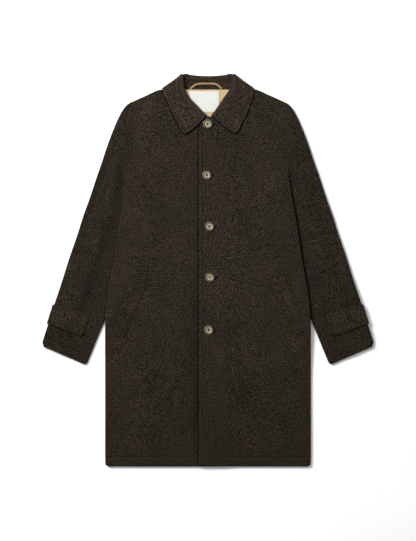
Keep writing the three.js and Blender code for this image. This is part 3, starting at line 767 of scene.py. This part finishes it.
def tweed(name, turn, tone, looks):
    """Herringbone: slanted lines that change their way from column to column, and flecks."""
    nodes = Nodes(name)
    place, x, y = millimetres(nodes, turn)
    dark = scaled(looks.tweed_dark, tone)
    light = scaled(looks.tweed_light, tone)
    middle = scaled([a + b for a, b in zip(dark, light)], 0.27)
    black, white = (0, 0, 0), (1, 1, 1)

    # Lines of the herringbone, single threads, and noises from fine to broad
    wander = nodes.math("MULTIPLY", nodes.math("SUBTRACT", nodes.noise(place, 0.02), 0.5), 3.0)
    column = nodes.math("PINGPONG", nodes.math("ADD", x, wander), looks.column_width)
    slope = nodes.math("MULTIPLY", column, looks.line_slope)
    line = nodes.wave(nodes.math("ADD", y, slope), looks.line_pitch)
    pitch = looks.thread_pitch
    threads = nodes.math("ADD", nodes.wave(x, pitch), nodes.wave(y, pitch))
    fuzz = nodes.centred_noise(place, 1.1, 2.0)
    grain = nodes.centred_noise(place, 0.33, 1.0)
    blotch = nodes.centred_noise(place, 0.16, 2.0)
    weave = nodes.total(
        (line, looks.line_contrast),
        (threads, 0.04),
        (fuzz, 0.6),
        (grain, looks.grain),
        (blotch, 0.6),
    )
    color = nodes.ramp(nodes.math("ADD", weave, 0.5), (0.0, dark), (0.5, middle), (1.0, light))

    # Coloured flecks, and the lighter and darker wool
    gold = nodes.ramp(nodes.noise(place, 0.31, 2.0, 0.6), (0.58, black), (0.68, white))
    color = nodes.tint(color, gold, 0.7, scaled(looks.fleck_gold, tone))
    rust = nodes.ramp(nodes.noise(place, 0.29, 2.0, 0.6), (0.64, black), (0.72, white))
    color = nodes.tint(color, rust, 0.5, scaled(looks.fleck_rust, tone))
    speckle = nodes.math("MULTIPLY", nodes.centred_noise(place, 0.3, 1.0), looks.speckle)
    speckle = nodes.math("MAXIMUM", nodes.math("ADD", speckle, 1.0), 0.12)
    color = nodes.multiply(color, speckle)
    cloud = nodes.noise(place, 0.011)
    broad = nodes.ramp(cloud, (0.3, (0.86, 0.86, 0.87)), (0.7, (1.12, 1.11, 1.08)))
    color = nodes.multiply(color, broad)

    # Painted shade: the cloth is painted a little darker and warmer toward the hem, where less
    # light falls
    level = nodes.math("ADD", nodes.math("MULTIPLY", y, MM), 0.5)
    painted_light_falloff = nodes.ramp(level, (0.0, (0.88, 0.87, 0.79)), (0.42, white))
    color = nodes.multiply(color, painted_light_falloff)

    # A groove along each row of stitches, bumped and darkened with painted shade, and a painted
    # highlight on the ridge beside it
    seam = nodes.attribute("seam")
    groove = nodes.near(nodes.math("ABSOLUTE", seam), GROOVE_WIDTH)
    color = nodes.tint(color, groove, 0.45, scaled(dark, 0.7))
    ridge_highlight = nodes.near(nodes.math("ABSOLUTE", nodes.math("ADD", seam, RIDGE_HIGHLIGHT_PLACE)), RIDGE_HIGHLIGHT_WIDTH)
    color = nodes.tint(color, ridge_highlight, 0.34, scaled(light, 0.9))

    # Painted light and shade with the tone of the nap, and the painted shade beside the pieces
    # above
    nap_and_painted_light = nodes.math("ADD", nodes.attribute("nap_and_painted_light"), 0.5)
    color = nodes.multiply(color, nodes.ramp(nap_and_painted_light, (0.0, (0.5,) * 3), (1.0, (1.5,) * 3)))
    shade = nodes.math("SUBTRACT", 1.0, nodes.attribute("cover"))
    shade = nodes.math("MULTIPLY", shade, SHADE_SLOPE, True)
    color = nodes.tint(color, nodes.math("MULTIPLY", shade, shade), 0.93, scaled(dark, 0.4))

    nodes.paint(color)
    nodes.set(Roughness=0.88, Specular_IOR_Level=0.05, Sheen_Weight=0.03, Sheen_Roughness=0.5)
    nodes.set(Sheen_Tint=(0.75, 0.66, 0.52, 1))
    height = nodes.total((line, 0.5), (threads, 0.15), (fuzz, 1.0), (grain, 1.6), (groove, -2.2))
    nodes.bump(height, 0.6, 0.5 * MM)
    return nodes.material


def satin(name, color):
    """Smooth lining: fine ribs, soft gloss and slight unevenness."""
    nodes = Nodes(name)
    place, _, y = millimetres(nodes)
    ribs = nodes.wave(y, 0.8)
    cloud = nodes.noise(place, 0.035)
    nodes.paint(nodes.ramp(cloud, (0.3, scaled(color, 0.86)), (0.7, scaled(color, 1.1))))
    nodes.wire(nodes.scale_add(cloud, 0.2, 0.32), nodes.shader.inputs["Roughness"])
    nodes.set(Specular_IOR_Level=0.5, Sheen_Weight=0.15, Anisotropic=0.4)
    nodes.bump(nodes.total((ribs, 0.08), (cloud, 2.0)), 0.4, 0.3 * MM)
    return nodes.material


def tape(name, looks):
    """Woven label tape: fine ribs both ways, matt with a slight sheen."""
    nodes = Nodes(name)
    place, x, y = millimetres(nodes)
    weave = nodes.scale_add(nodes.math("ADD", nodes.wave(x, 0.7), nodes.wave(y, 0.5)), 0.2, 0.5)
    base = tuple(looks.label_color)
    color = nodes.ramp(weave, (0.1, scaled(base, 0.9)), (0.9, base))
    soil = nodes.ramp(nodes.noise(place, 0.05, 4.0), (0.3, (0.9, 0.89, 0.86)), (0.7, (1, 1, 1)))
    nodes.paint(nodes.multiply(color, soil, 0.5))
    nodes.set(Roughness=0.6, Specular_IOR_Level=0.35, Sheen_Weight=0.1)
    nodes.bump(weave, 0.5, 0.15 * MM)
    return nodes.material


DISH_EDGE = 9.2  # radius in mm of the button's pale dish
HOLES_EDGE = 4.6  # and of the painted shade around its holes


def horn(name, looks, seed, centre):
    """Polished horn: a pale dish and a swirled darker rim, another cut for each button."""
    nodes = Nodes(name)
    place, _, _ = millimetres(nodes)
    shifted = nodes.shift(place, (13.0 * seed, 29.0 * seed, 7.0 * seed))
    swirl = nodes.add("ShaderNodeTexNoise")
    swirl.inputs["Scale"].default_value = 0.13
    swirl.inputs["Detail"].default_value = 3.0
    swirl.inputs["Distortion"].default_value = 1.2
    nodes.wire(shifted, swirl.inputs["Vector"])
    light = tuple(looks.horn_light)
    dark = tuple(looks.horn_dark)
    grey = tuple(looks.horn_grey)
    swirled = swirl.outputs["Fac"]
    streaks = ((0.36, dark), (0.46, grey), (0.54, scaled(light, 0.36)), (0.62, grey))
    rim = nodes.ramp(swirled, *streaks)
    dish = nodes.ramp(swirled, (0.35, scaled(light, 0.6)), (0.6, light))
    radius = nodes.add("ShaderNodeVectorMath", operation="LENGTH")
    nodes.wire(nodes.shift(place, tuple(-c / MM for c in centre)), radius.inputs[0])
    out = radius.outputs["Value"]
    color = nodes.mix(nodes.inside(out, DISH_EDGE, 2.4), rim, dish)
    streak = nodes.noise(shifted, 1.1, 2.0)
    brown = nodes.ramp(streak, (0.35, (0.6, 0.55, 0.5)), (0.7, (1, 1, 1)))
    color = nodes.multiply(color, brown, 0.35)
    # Painted shade round the holes: the middle is darkened where the holes and their thread lie
    color = nodes.tint(color, nodes.inside(out, HOLES_EDGE, 1.8), 0.93, scaled(dark, 0.25))
    nodes.paint(color)
    nodes.set(Roughness=0.38, Specular_IOR_Level=0.3, Coat_Weight=0.08, Coat_Roughness=0.2)
    nodes.bump(streak, 0.1, 0.1 * MM)
    return nodes.material


def thread(name, color):
    """Twisted sewing thread."""
    nodes = Nodes(name)
    _, x, y = millimetres(nodes)
    twist = nodes.wave(nodes.math("ADD", x, y), 0.45)
    shade = nodes.scale_add(twist, 0.3, 0.6)
    nodes.paint(nodes.ramp(shade, (0.2, scaled(color, 0.6)), (0.9, color)))
    nodes.set(Roughness=0.7, Specular_IOR_Level=0.1, Sheen_Weight=0.0)
    nodes.bump(twist, 0.4, 0.05 * MM)
    return nodes.material


# Stitching


def surface_of(*names):
    """A tree of the finished pieces, to set stitches down on."""
    points = []
    faces = []
    for name in names:
        mesh = bpy.data.objects[name].data
        start = len(points)
        points += [v.co.copy() for v in mesh.vertices]
        faces += [[start + i for i in p.vertices] for p in mesh.polygons]
    return BVHTree.FromPolygons(points, faces)


def set_down(tree, x, y, down=True):
    """The point of a surface above or below a place in mm, and its normal."""
    start = Vector((x * MM, y * MM, 0.2 if down else -0.2))
    way = Vector((0, 0, -1 if down else 1))
    place, normal, _, _ = tree.ray_cast(start, way)
    return place, normal


def upper_rims(node):
    """The rims of a node's upper faces as runs of points in mm, with the way into the cloth."""
    bm = cad_copy(node)
    inward = {}
    links = {}
    for edge in bm.edges:
        if not is_rim(edge):
            continue
        upper = [f for f in edge.link_faces if f.normal.z > UPWARD]
        if len(upper) != 1:
            continue
        a, b = (v.index for v in edge.verts)
        links.setdefault(a, []).append(b)
        links.setdefault(b, []).append(a)
        middle = (edge.verts[0].co + edge.verts[1].co) / 2
        way = upper[0].calc_center_median() - middle
        along = (edge.verts[1].co - edge.verts[0].co).normalized()
        way = way - along * way.dot(along)
        inward[frozenset((a, b))] = Vector((way.x, way.y)).normalized()
    places = {v.index: Vector((v.co.x / MM, v.co.y / MM)) for v in bm.verts}
    bm.free()
    runs = []
    while links:
        ends = [v for v, others in links.items() if len(others) == 1]
        here = ends[0] if ends else next(iter(links))
        run = []
        while links.get(here):
            there = links[here].pop()
            links[there].remove(here)
            run.append((places[here], places[there], inward[frozenset((here, there))]))
            for v in (here, there):
                if not links[v]:
                    del links[v]
            here = there
        runs.append(run)
    return runs


def offset_run(run, inset):
    """The run's points moved into the cloth, with mitred turns."""
    points = []
    for k, (a, _, way) in enumerate(run):
        before = run[k - 1][2] if k else way
        turn = (before + way).normalized()
        reach = inset / max(turn.dot(way), MITRE)
        points.append(a + turn * reach)
    points.append(run[-1][1] + run[-1][2] * inset)
    return points


def add_stitch(bm, place, way, normal, size):
    """One stitch: a slim grain, half sunk into the cloth."""
    side = normal.cross(way).normalized()
    along = side.cross(normal).normalized()
    turn = Matrix((along, side, normal)).transposed().to_4x4()
    scale = Matrix.Diagonal((size["length"] * MM, size["width"] * MM, size["height"] * MM, 1))
    matrix = Matrix.Translation(place + normal * size["height"] * STITCH_RISE * MM) @ turn @ scale
    bmesh.ops.create_icosphere(bm, subdivisions=1, radius=0.5, matrix=matrix)


def stitch_path(bm, points, tree, size=STITCH, keep=None, down=True):
    """Stitches along a path of points in mm, set down on a surface."""
    left = size["pitch"] / 2
    for a, b in zip(points, points[1:]):
        step = b - a
        length = step.length
        if length < 1e-6:
            continue
        way = step / length
        while left < length:
            spot = a + way * left
            left += size["pitch"]
            if keep and not keep(spot):
                continue
            place, normal = set_down(tree, spot.x, spot.y, down)
            if place is None:
                continue
            add_stitch(bm, place, Vector((way.x, way.y, 0)), normal, size)
        left -= length


def add_stitches(bm, name, material):
    """Makes a piece of a bmesh of stitches."""
    piece = object_from(bm, name, material)
    attach(piece)
    return piece


# What a user may change


def number(name, description, default):
    return FloatProperty(name=name, description=description, default=default)


def length(name, description, default):
    """A length, whose default is in mm."""
    default *= MM
    return FloatProperty(name=name, description=description, default=default, unit="LENGTH")


def color(name, description, default):
    return FloatVectorProperty(
        name=name, description=description, subtype="COLOR", default=default
    )


class CoatLooks(bpy.types.PropertyGroup):
    column_width: number("Column width", "Herringbone column, in mm", 15.5)
    line_pitch: number("Line pitch", "From line to line down a column, in mm", 6.8)
    line_slope: number("Line slope", "Rise of the lines across a column", 1.05)
    line_contrast: number("Line contrast", "Light against dark lines", 0.8)
    grain: number("Grain", "Unevenness of the yarn", 1.0)
    thread_pitch: number("Thread pitch", "From thread to thread, in mm", 1.5)
    tweed_dark: color("Tweed dark", "Dark yarn", (0.0016, 0.0013, 0.0012))
    tweed_light: color("Tweed light", "Light yarn", (0.039, 0.029, 0.0208))
    speckle: number("Speckle", "Contrast of the mixed wool", 4.3)
    fleck_gold: color("Gold fleck", "Olive gold fibres", (0.05, 0.037, 0.016))
    fleck_rust: color("Rust fleck", "Rust brown fibres", (0.034, 0.018, 0.011))
    lining_color: color("Lining", "Satin lining", (0.46, 0.32, 0.17))
    loop_color: color("Loop", "Hanger loop", (0.27, 0.17, 0.07))
    label_color: color("Label", "Label tape", (0.58, 0.585, 0.55))
    horn_light: color("Horn light", "Pale dish", (0.4, 0.33, 0.2))
    horn_dark: color("Horn dark", "Dark bands", (0.03, 0.019, 0.012))
    horn_grey: color("Horn grey", "Grey of the rim", (0.078, 0.066, 0.058))


class CoatSizes(bpy.types.PropertyGroup):
    rim_rounding: length("Rim rounding", "Radius of folded edges", 1.15)
    top_stitch: length("Top stitch inset", "From a folded edge", 6)
    edge_stitch: length("Front stitch inset", "From the free front edge", 9)
    welt_stitch: length("Welt stitch inset", "From welt and strap edges", 4)
    welt_press: length("Welt press", "How far the welts are pressed flat", 0.9)
    hem_depth: length("Hem depth", "Hem and cuff stitching above the edge", 26)
    button_radius: length("Button radius", "Front buttons", 13)
    stitching: BoolProperty(
        name="Stitching", description="Make the stitches as meshes", default=True
    )


def looks():
    return bpy.context.scene.coat_looks


def sizes():
    return bpy.context.scene.coat_sizes


# Operators


class COAT_OT_cloth(bpy.types.Operator):
    """Make the tweed pieces: body, sleeves, straps, welts and collar"""

    bl_idname = "coat.cloth"
    bl_label = "Tweed pieces"

    def execute(self, context):
        for node, (flat, turn, tone, rests_on) in CLOTH.items():
            material = tweed(f"tweed_{node}", turn, tone, looks())
            bm = cad_copy(node)
            crease_rims(bm)
            piece = object_from(bm, f"{node}_cloth", material)
            subdivide(piece, 2, node == "collar_fall")
            if node in LIFTS:
                lay_folds(piece, LIFTS[node])
            if node.startswith("pocket_welt"):
                press(piece, sizes().welt_press)
            for ways in ROUND_CORNERS.get(node, ()):
                round_corner(piece, ways, CORNER_RADIUS * MM)
            soften_rims(piece, sizes().rim_rounding)
            mark_seams(piece, node)
            mark_shade(piece, node)
            declare_cloth(piece, node)
        meet(bpy.data.objects["collar_stand_cloth"], "collar_fall_cloth", ROLL_GAP * MM)
        for side in SIDES:
            sleeve = bpy.data.objects[f"sleeve_{side}_cloth"]
            for body in (f"front_{side}", "back"):
                meet(sleeve, f"{body}_cloth", ARMHOLE_GAP * MM, ARMHOLE_END * MM)
        return {"FINISHED"}


def point_lining(piece):
    """Draws the lower edge of the lining up to a V between the ends of the collar."""
    for vertex in piece.data.vertices:
        x, y = vertex.co.x / MM, vertex.co.y / MM
        edge = V_BOTTOM[1] + LINING_SLOPE * abs(x - V_BOTTOM[0])
        rise = min(edge - LINING_END, LINING_RISE)
        vertex.co.y += rise * ease((LINING_END + LINING_REACH - y) / LINING_REACH) * MM
    piece.data.update()


class COAT_OT_neck(bpy.types.Operator):
    """Make the lining, the label and the hanger loop inside the neck"""

    bl_idname = "coat.neck"
    bl_label = "Inside the neck"

    def execute(self, context):
        lining = satin("satin_lining", looks().lining_color)
        loop = satin("satin_loop", looks().loop_color)
        pieces = (
            ("neck_lining", lining, "satin_lining", (0.148, 0.083), 0.3),
            ("neck_label", tape("label_tape", looks()), "label_tape", (0.084, 0.06), 0.3),
            ("hanger_loop", loop, "satin_lining", (0.01, 0.1), 0.5),
        )
        for node, material, slot, flat, rounding in pieces:
            bm = cad_copy(node)
            crease_rims(bm)
            piece = object_from(bm, f"{node}_cloth", material)
            subdivide(piece, 2)
            if node == "neck_lining":
                point_lining(piece)
            soften_rims(piece, rounding * MM)
            declare_cloth(piece, node)
        return {"FINISHED"}


BUTTON_NODES = [f"button_{k}" for k in range(1, 6)]
HOLE_PLACE = 2.2  # of the four holes from the button's axis, both ways, in mm
HOLE_RADIUS = 1.1
DRILL_MIDDLE = 2  # height of the drill's middle in mm
DRILL_LENGTH = 9
STRANDS = (-0.6, 0, 0.6)  # the threads that lie side by side between two holes, in mm
STRAND_HEIGHT = 2.75
# Half of the button's section in mm: distance from the axis and height
BUTTON_PROFILE = (
    (0.0, 0.0),
    (9.8, 0.0),
    (11.6, 0.4),
    (12.6, 1.2),
    (13.0, 2.1),
    (12.7, 3.0),
    (11.9, 3.65),
    (10.9, 3.9),
    (9.9, 3.75),
    (9.1, 3.3),
    (8.2, 2.9),
    (6.0, 2.65),
    (0.0, 2.6),
)


def button_bmesh():
    """A turned button with a raised rim, at the origin."""
    bm = bmesh.new()
    scale = sizes().button_radius / BUTTON_PROFILE[4][0]
    points = [bm.verts.new((r * scale, 0, z * MM)) for r, z in BUTTON_PROFILE]
    edges = [bm.edges.new(pair) for pair in zip(points, points[1:])]
    bmesh.ops.spin(
        bm,
        geom=points + edges,
        cent=(0, 0, 0),
        axis=(0, 0, 1),
        angle=2 * math.pi,
        steps=48,
        use_merge=True,
        use_duplicate=False,
    )
    bmesh.ops.remove_doubles(bm, verts=bm.verts, dist=0.01 * MM)
    bmesh.ops.recalc_face_normals(bm, faces=bm.faces)
    return bm


def drill_holes(piece):
    """Cuts the four thread holes."""
    bm = bmesh.new()
    for sx in (-1, 1):
        for sy in (-1, 1):
            place = Vector((sx * HOLE_PLACE, sy * HOLE_PLACE, DRILL_MIDDLE)) * MM
            bmesh.ops.create_cone(
                bm,
                cap_ends=True,
                segments=16,
                radius1=HOLE_RADIUS * MM,
                radius2=HOLE_RADIUS * MM,
                depth=DRILL_LENGTH * MM,
                matrix=Matrix.Translation(place),
            )
    drill = object_from(bm, "drill", piece.data.materials[0])
    cut = piece.modifiers.new("holes", "BOOLEAN")
    cut.operation = "DIFFERENCE"
    cut.solver = "EXACT"
    cut.object = drill
    apply_modifiers(piece)
    bpy.data.objects.remove(drill)


class COAT_OT_buttons(bpy.types.Operator):
    """Make the five horn buttons with the thread that holds them"""

    bl_idname = "coat.buttons"
    bl_label = "Buttons"

    def execute(self, context):
        yarn = thread("button_thread", (0.012, 0.009, 0.007))
        for k, node in enumerate(BUTTON_NODES):
            low, high = (Vector(corner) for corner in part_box(node))
            middle = (low + high) / 2
            lift = body_lift(middle.x / MM, middle.y / MM, 0)
            place = Vector((middle.x, middle.y, low.z + lift))
            material = horn(f"horn_{k + 1}", looks(), k + 1, place)
            piece = object_from(button_bmesh(), f"{node}_horn", material)
            drill_holes(piece)
            turn = Matrix.Rotation(math.radians(17 * k - 20), 4, "Z")
            piece.data.transform(Matrix.Translation(place) @ turn)
            attach(piece, node)
            bm = bmesh.new()
            shape = {"length": 2 * HOLE_PLACE + 1.4, "width": 0.55, "height": 0.8}
            for sy in (-1, 1):
                for strand in STRANDS:
                    spot = Vector((0, sy * HOLE_PLACE + strand, STRAND_HEIGHT)) * MM
                    add_stitch(bm, spot, Vector((1, 0, 0)), Vector((0, 0, 1)), shape)
            strands = add_stitches(bm, f"{node}_thread", yarn)
            strands.data.transform(Matrix.Translation(place) @ turn)
        return {"FINISHED"}


# Buttonholes in mm; their middle lies past the button's by the shift
BUTTONHOLE = {"length": 28, "half_width": 2.3, "shift": 7, "bars": 30}
BAR = {"length": 2.6, "width": 0.7, "height": 0.9}
# The slit and the eyelet are near-black grains laid on the cloth: painted shade of the cut opening
SLIT_SHADE = {"length": BUTTONHOLE["length"], "width": 3.4, "height": 0.8}
EYELET_SHADE = {"length": 7.0, "width": 5.6, "height": 1.2}
EYELET_IN = 4  # from the buttonhole's end to the eyelet's middle
# Bars round the eyelet's end: how many on each side, their angle in degrees, and the arc's radii
END_BARS = 3
END_ANGLE = 30
END_ARC = (1.6, 1.9)


class COAT_OT_buttonholes(bpy.types.Operator):
    """Work the buttonholes of the left front"""

    bl_idname = "coat.buttonholes"
    bl_label = "Buttonholes"

    def execute(self, context):
        tree = surface_of("front_left_cloth")
        yarn = thread("buttonhole_thread", (0.02, 0.015, 0.011))
        slit_shade = thread("buttonhole_slit_shade", (0.001, 0.001, 0.001))
        bm = bmesh.new()
        gap = bmesh.new()
        half = BUTTONHOLE["length"] / 2
        for node in BUTTON_NODES:
            low, high = (Vector(corner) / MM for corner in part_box(node))
            middle = Vector(((low.x + high.x) / 2 + BUTTONHOLE["shift"], (low.y + high.y) / 2))
            for k in range(BUTTONHOLE["bars"] + 1):
                x = middle.x - half + k / BUTTONHOLE["bars"] * 2 * half
                for side in (-1, 1):
                    y = middle.y + side * BUTTONHOLE["half_width"]
                    place, normal = set_down(tree, x, y)
                    if place is not None:
                        add_stitch(bm, place, Vector((0, 1, 0)), normal, BAR)
            # Painted shade of the opening: a dark slit and eyelet on the cloth
            for x, shape in ((middle.x, SLIT_SHADE), (middle.x + half - EYELET_IN, EYELET_SHADE)):
                place, normal = set_down(tree, x, middle.y)
                add_stitch(gap, place, Vector((1, 0, 0)), normal, shape)
            for turn in range(-END_BARS, END_BARS + 1):
                angle = turn * math.radians(END_ANGLE)
                out = Vector((END_ARC[0] * math.cos(angle), END_ARC[1] * math.sin(angle)))
                spot = middle + Vector((half, 0)) + out
                place, normal = set_down(tree, spot.x, spot.y)
                if place is not None:
                    way = Vector((math.cos(angle), math.sin(angle), 0))
                    add_stitch(bm, place, way, normal, BAR)
        add_stitches(bm, "buttonhole_stitches", yarn)
        add_stitches(gap, "buttonhole_slit_shades", slit_shade)
        return {"FINISHED"}


# The label's stitches: from its edge, and from its corners, in mm
LABEL_INSET = 1.5
LABEL_END = 1


class COAT_OT_stitching(bpy.types.Operator):
    """Stitch the collar, front edges, hem, cuffs, straps, welts and label"""

    bl_idname = "coat.stitching"
    bl_label = "Stitching"

    def execute(self, context):
        yarn = thread("tweed_thread", (0.022, 0.017, 0.012))
        top = sizes().top_stitch / MM
        front = sizes().edge_stitch / MM
        welt = sizes().welt_stitch / MM
        depth = sizes().hem_depth / MM
        # Places in mm keep each row to its own edge
        self.edges("collar_fall", yarn, top, lambda p: p.y < 520)
        self.edges("front_left", yarn, front, lambda p: p.x < -10 and p.y < 412)
        self.edges("front_left", yarn, depth, lambda p: p.y < -515 and p.x > -20, "hem_left")
        self.edges("front_right", yarn, depth, lambda p: p.y < -515 and p.x < -20, "hem_right")
        for side, sign in SIDES.items():
            self.edges(f"pocket_welt_{side}", yarn, welt)
            self.edges(f"cuff_strap_{side}", yarn, welt)
            cuff = self.cuff_line(sign, depth)
            bm = bmesh.new()
            tree = surface_of(f"sleeve_{side}_cloth")
            stitch_path(bm, cuff, tree)
            stitch_path(bm, cuff, tree, down=False)
            add_stitches(bm, f"cuff_{side}_stitches", yarn)
        bm = bmesh.new()
        tree = surface_of("back_cloth")
        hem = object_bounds()[0].y / MM + depth
        stitch_path(bm, [Vector((-280, hem)), Vector((280, hem))], tree, down=False)
        add_stitches(bm, "back_hem_stitches", yarn)
        self.label_stitches()
        return {"FINISHED"}

    def edges(self, node, yarn, inset, keep=None, name=None):
        """A row of stitches inside a node's outline, where keep(place in mm) allows it."""
        bm = bmesh.new()
        tree = surface_of(f"{node}_cloth")
        for run in upper_rims(node):
            stitch_path(bm, offset_run(run, inset), tree, keep=keep)
        add_stitches(bm, f"{name or node}_stitches", yarn)

    def cuff_line(self, sign, depth):
        """Parallel to the cuff's edge, up the sleeve from it."""
        up = cuff_normal(sign) * depth
        return [Vector((sign * x, y)) + up for x, y in CUFF_EDGE]

    def label_stitches(self):
        cream = thread("label_thread", (0.6, 0.56, 0.48))
        low, high = (Vector(corner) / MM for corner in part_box("neck_label"))
        tree = surface_of("neck_label_cloth")
        bm = bmesh.new()
        size = {**STITCH, "pitch": 2.6, "length": 2.0, "width": 0.5}
        ends = (low.y + LABEL_END, high.y - LABEL_END)
        for x in (low.x + LABEL_INSET, high.x - LABEL_INSET):
            stitch_path(bm, [Vector((x, y)) for y in ends], tree, size)
        ends = (low.x + LABEL_END, high.x - LABEL_END)
        for y in (low.y + LABEL_INSET, high.y - LABEL_INSET):
            stitch_path(bm, [Vector((x, y)) for x in ends], tree, size)
        add_stitches(bm, "neck_label_stitches", cream)


# Area lights: place in m, size in m and power in W
LIGHTS = {
    "key": ((-2.3, 1.7, 2.4), 1.7, 215),
    "fill": ((1.6, 1.6, 2.9), 2.6, 26),
}
SKY_STRENGTH = 0.36
FLOOR_DROP = 0.5 * MM  # the floor lies this far under the coat
CAMERA_SHIFT = -0.25 * PIXEL  # puts the coat on the photo's pixels


class COAT_OT_stage(bpy.types.Operator):
    """Set the pale floor, the soft lights and the camera"""

    bl_idname = "coat.stage"
    bl_label = "Floor, lights and camera"

    def execute(self, context):
        self.floor()
        for name, (place, size, power) in LIGHTS.items():
            self.light(name, place, size, power)
        self.world()
        self.camera()
        context.scene.view_settings.view_transform = "Standard"
        return {"FINISHED"}

    def floor(self):
        bm = bmesh.new()
        bmesh.ops.create_grid(bm, x_segments=1, y_segments=1, size=6)
        nodes = Nodes("floor")
        place, _, _ = millimetres(nodes)
        nodes.paint(nodes.ramp(nodes.noise(place, 0.004), (0.3, (0.9,) * 3), (0.7, (0.93,) * 3)))
        nodes.set(Roughness=0.9, Specular_IOR_Level=0.1)
        floor = object_from(bm, "floor", nodes.material)
        floor.data.transform(Matrix.Translation((0, 0, -FLOOR_DROP)))
        floor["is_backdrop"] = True

    def light(self, name, place, size, power):
        data = bpy.data.lights.new(name, "AREA")
        data.energy = power
        data.size = size
        lamp = bpy.data.objects.new(name, data)
        bpy.context.scene.collection.objects.link(lamp)
        lamp.location = place
        lamp.rotation_euler = (-Vector(place)).to_track_quat("-Z", "Y").to_euler()

    def world(self):
        world = bpy.data.worlds.new("studio")
        world.use_nodes = True
        sky = world.node_tree.nodes["Background"]
        sky.inputs["Color"].default_value = (1, 1, 1, 1)
        sky.inputs["Strength"].default_value = SKY_STRENGTH
        bpy.context.scene.world = world

    def camera(self):
        data = bpy.data.cameras.new("camera")
        data.sensor_width = SENSOR
        distance = CAMERA_HEIGHT - COAT_TOP
        data.lens = SENSOR / (PHOTO_HEIGHT * PIXEL) * distance
        data.clip_end = 50
        camera = bpy.data.objects.new("camera", data)
        bpy.context.scene.collection.objects.link(camera)
        camera.location = (0, CAMERA_SHIFT, CAMERA_HEIGHT)
        bpy.context.scene.camera = camera


class COAT_PT_panel(bpy.types.Panel):
    bl_label = "Coat"
    bl_idname = "COAT_PT_panel"
    bl_space_type = "VIEW_3D"
    bl_region_type = "UI"
    bl_category = "Coat"

    def draw(self, context):
        layout = self.layout
        for group in (context.scene.coat_looks, context.scene.coat_sizes):
            for name in group.__annotations__:
                layout.prop(group, name)
        for operator in OPERATORS:
            layout.operator(operator.bl_idname)


OPERATORS = (
    COAT_OT_cloth,
    COAT_OT_neck,
    COAT_OT_buttons,
    COAT_OT_buttonholes,
    COAT_OT_stitching,
    COAT_OT_stage,
)
CLASSES = (CoatLooks, CoatSizes, *OPERATORS, COAT_PT_panel)


def register():
    for cls in CLASSES:
        bpy.utils.register_class(cls)
    bpy.types.Scene.coat_looks = PointerProperty(type=CoatLooks)
    bpy.types.Scene.coat_sizes = PointerProperty(type=CoatSizes)


def unregister():
    del bpy.types.Scene.coat_looks
    del bpy.types.Scene.coat_sizes
    for cls in reversed(CLASSES):
        bpy.utils.unregister_class(cls)


def main():
    register()
    bpy.ops.coat.cloth()
    bpy.ops.coat.neck()
    bpy.ops.coat.buttons()
    bpy.ops.coat.buttonholes()
    if sizes().stitching:
        bpy.ops.coat.stitching()
    bpy.ops.coat.stage()


if __name__ == "__main__":
    main()
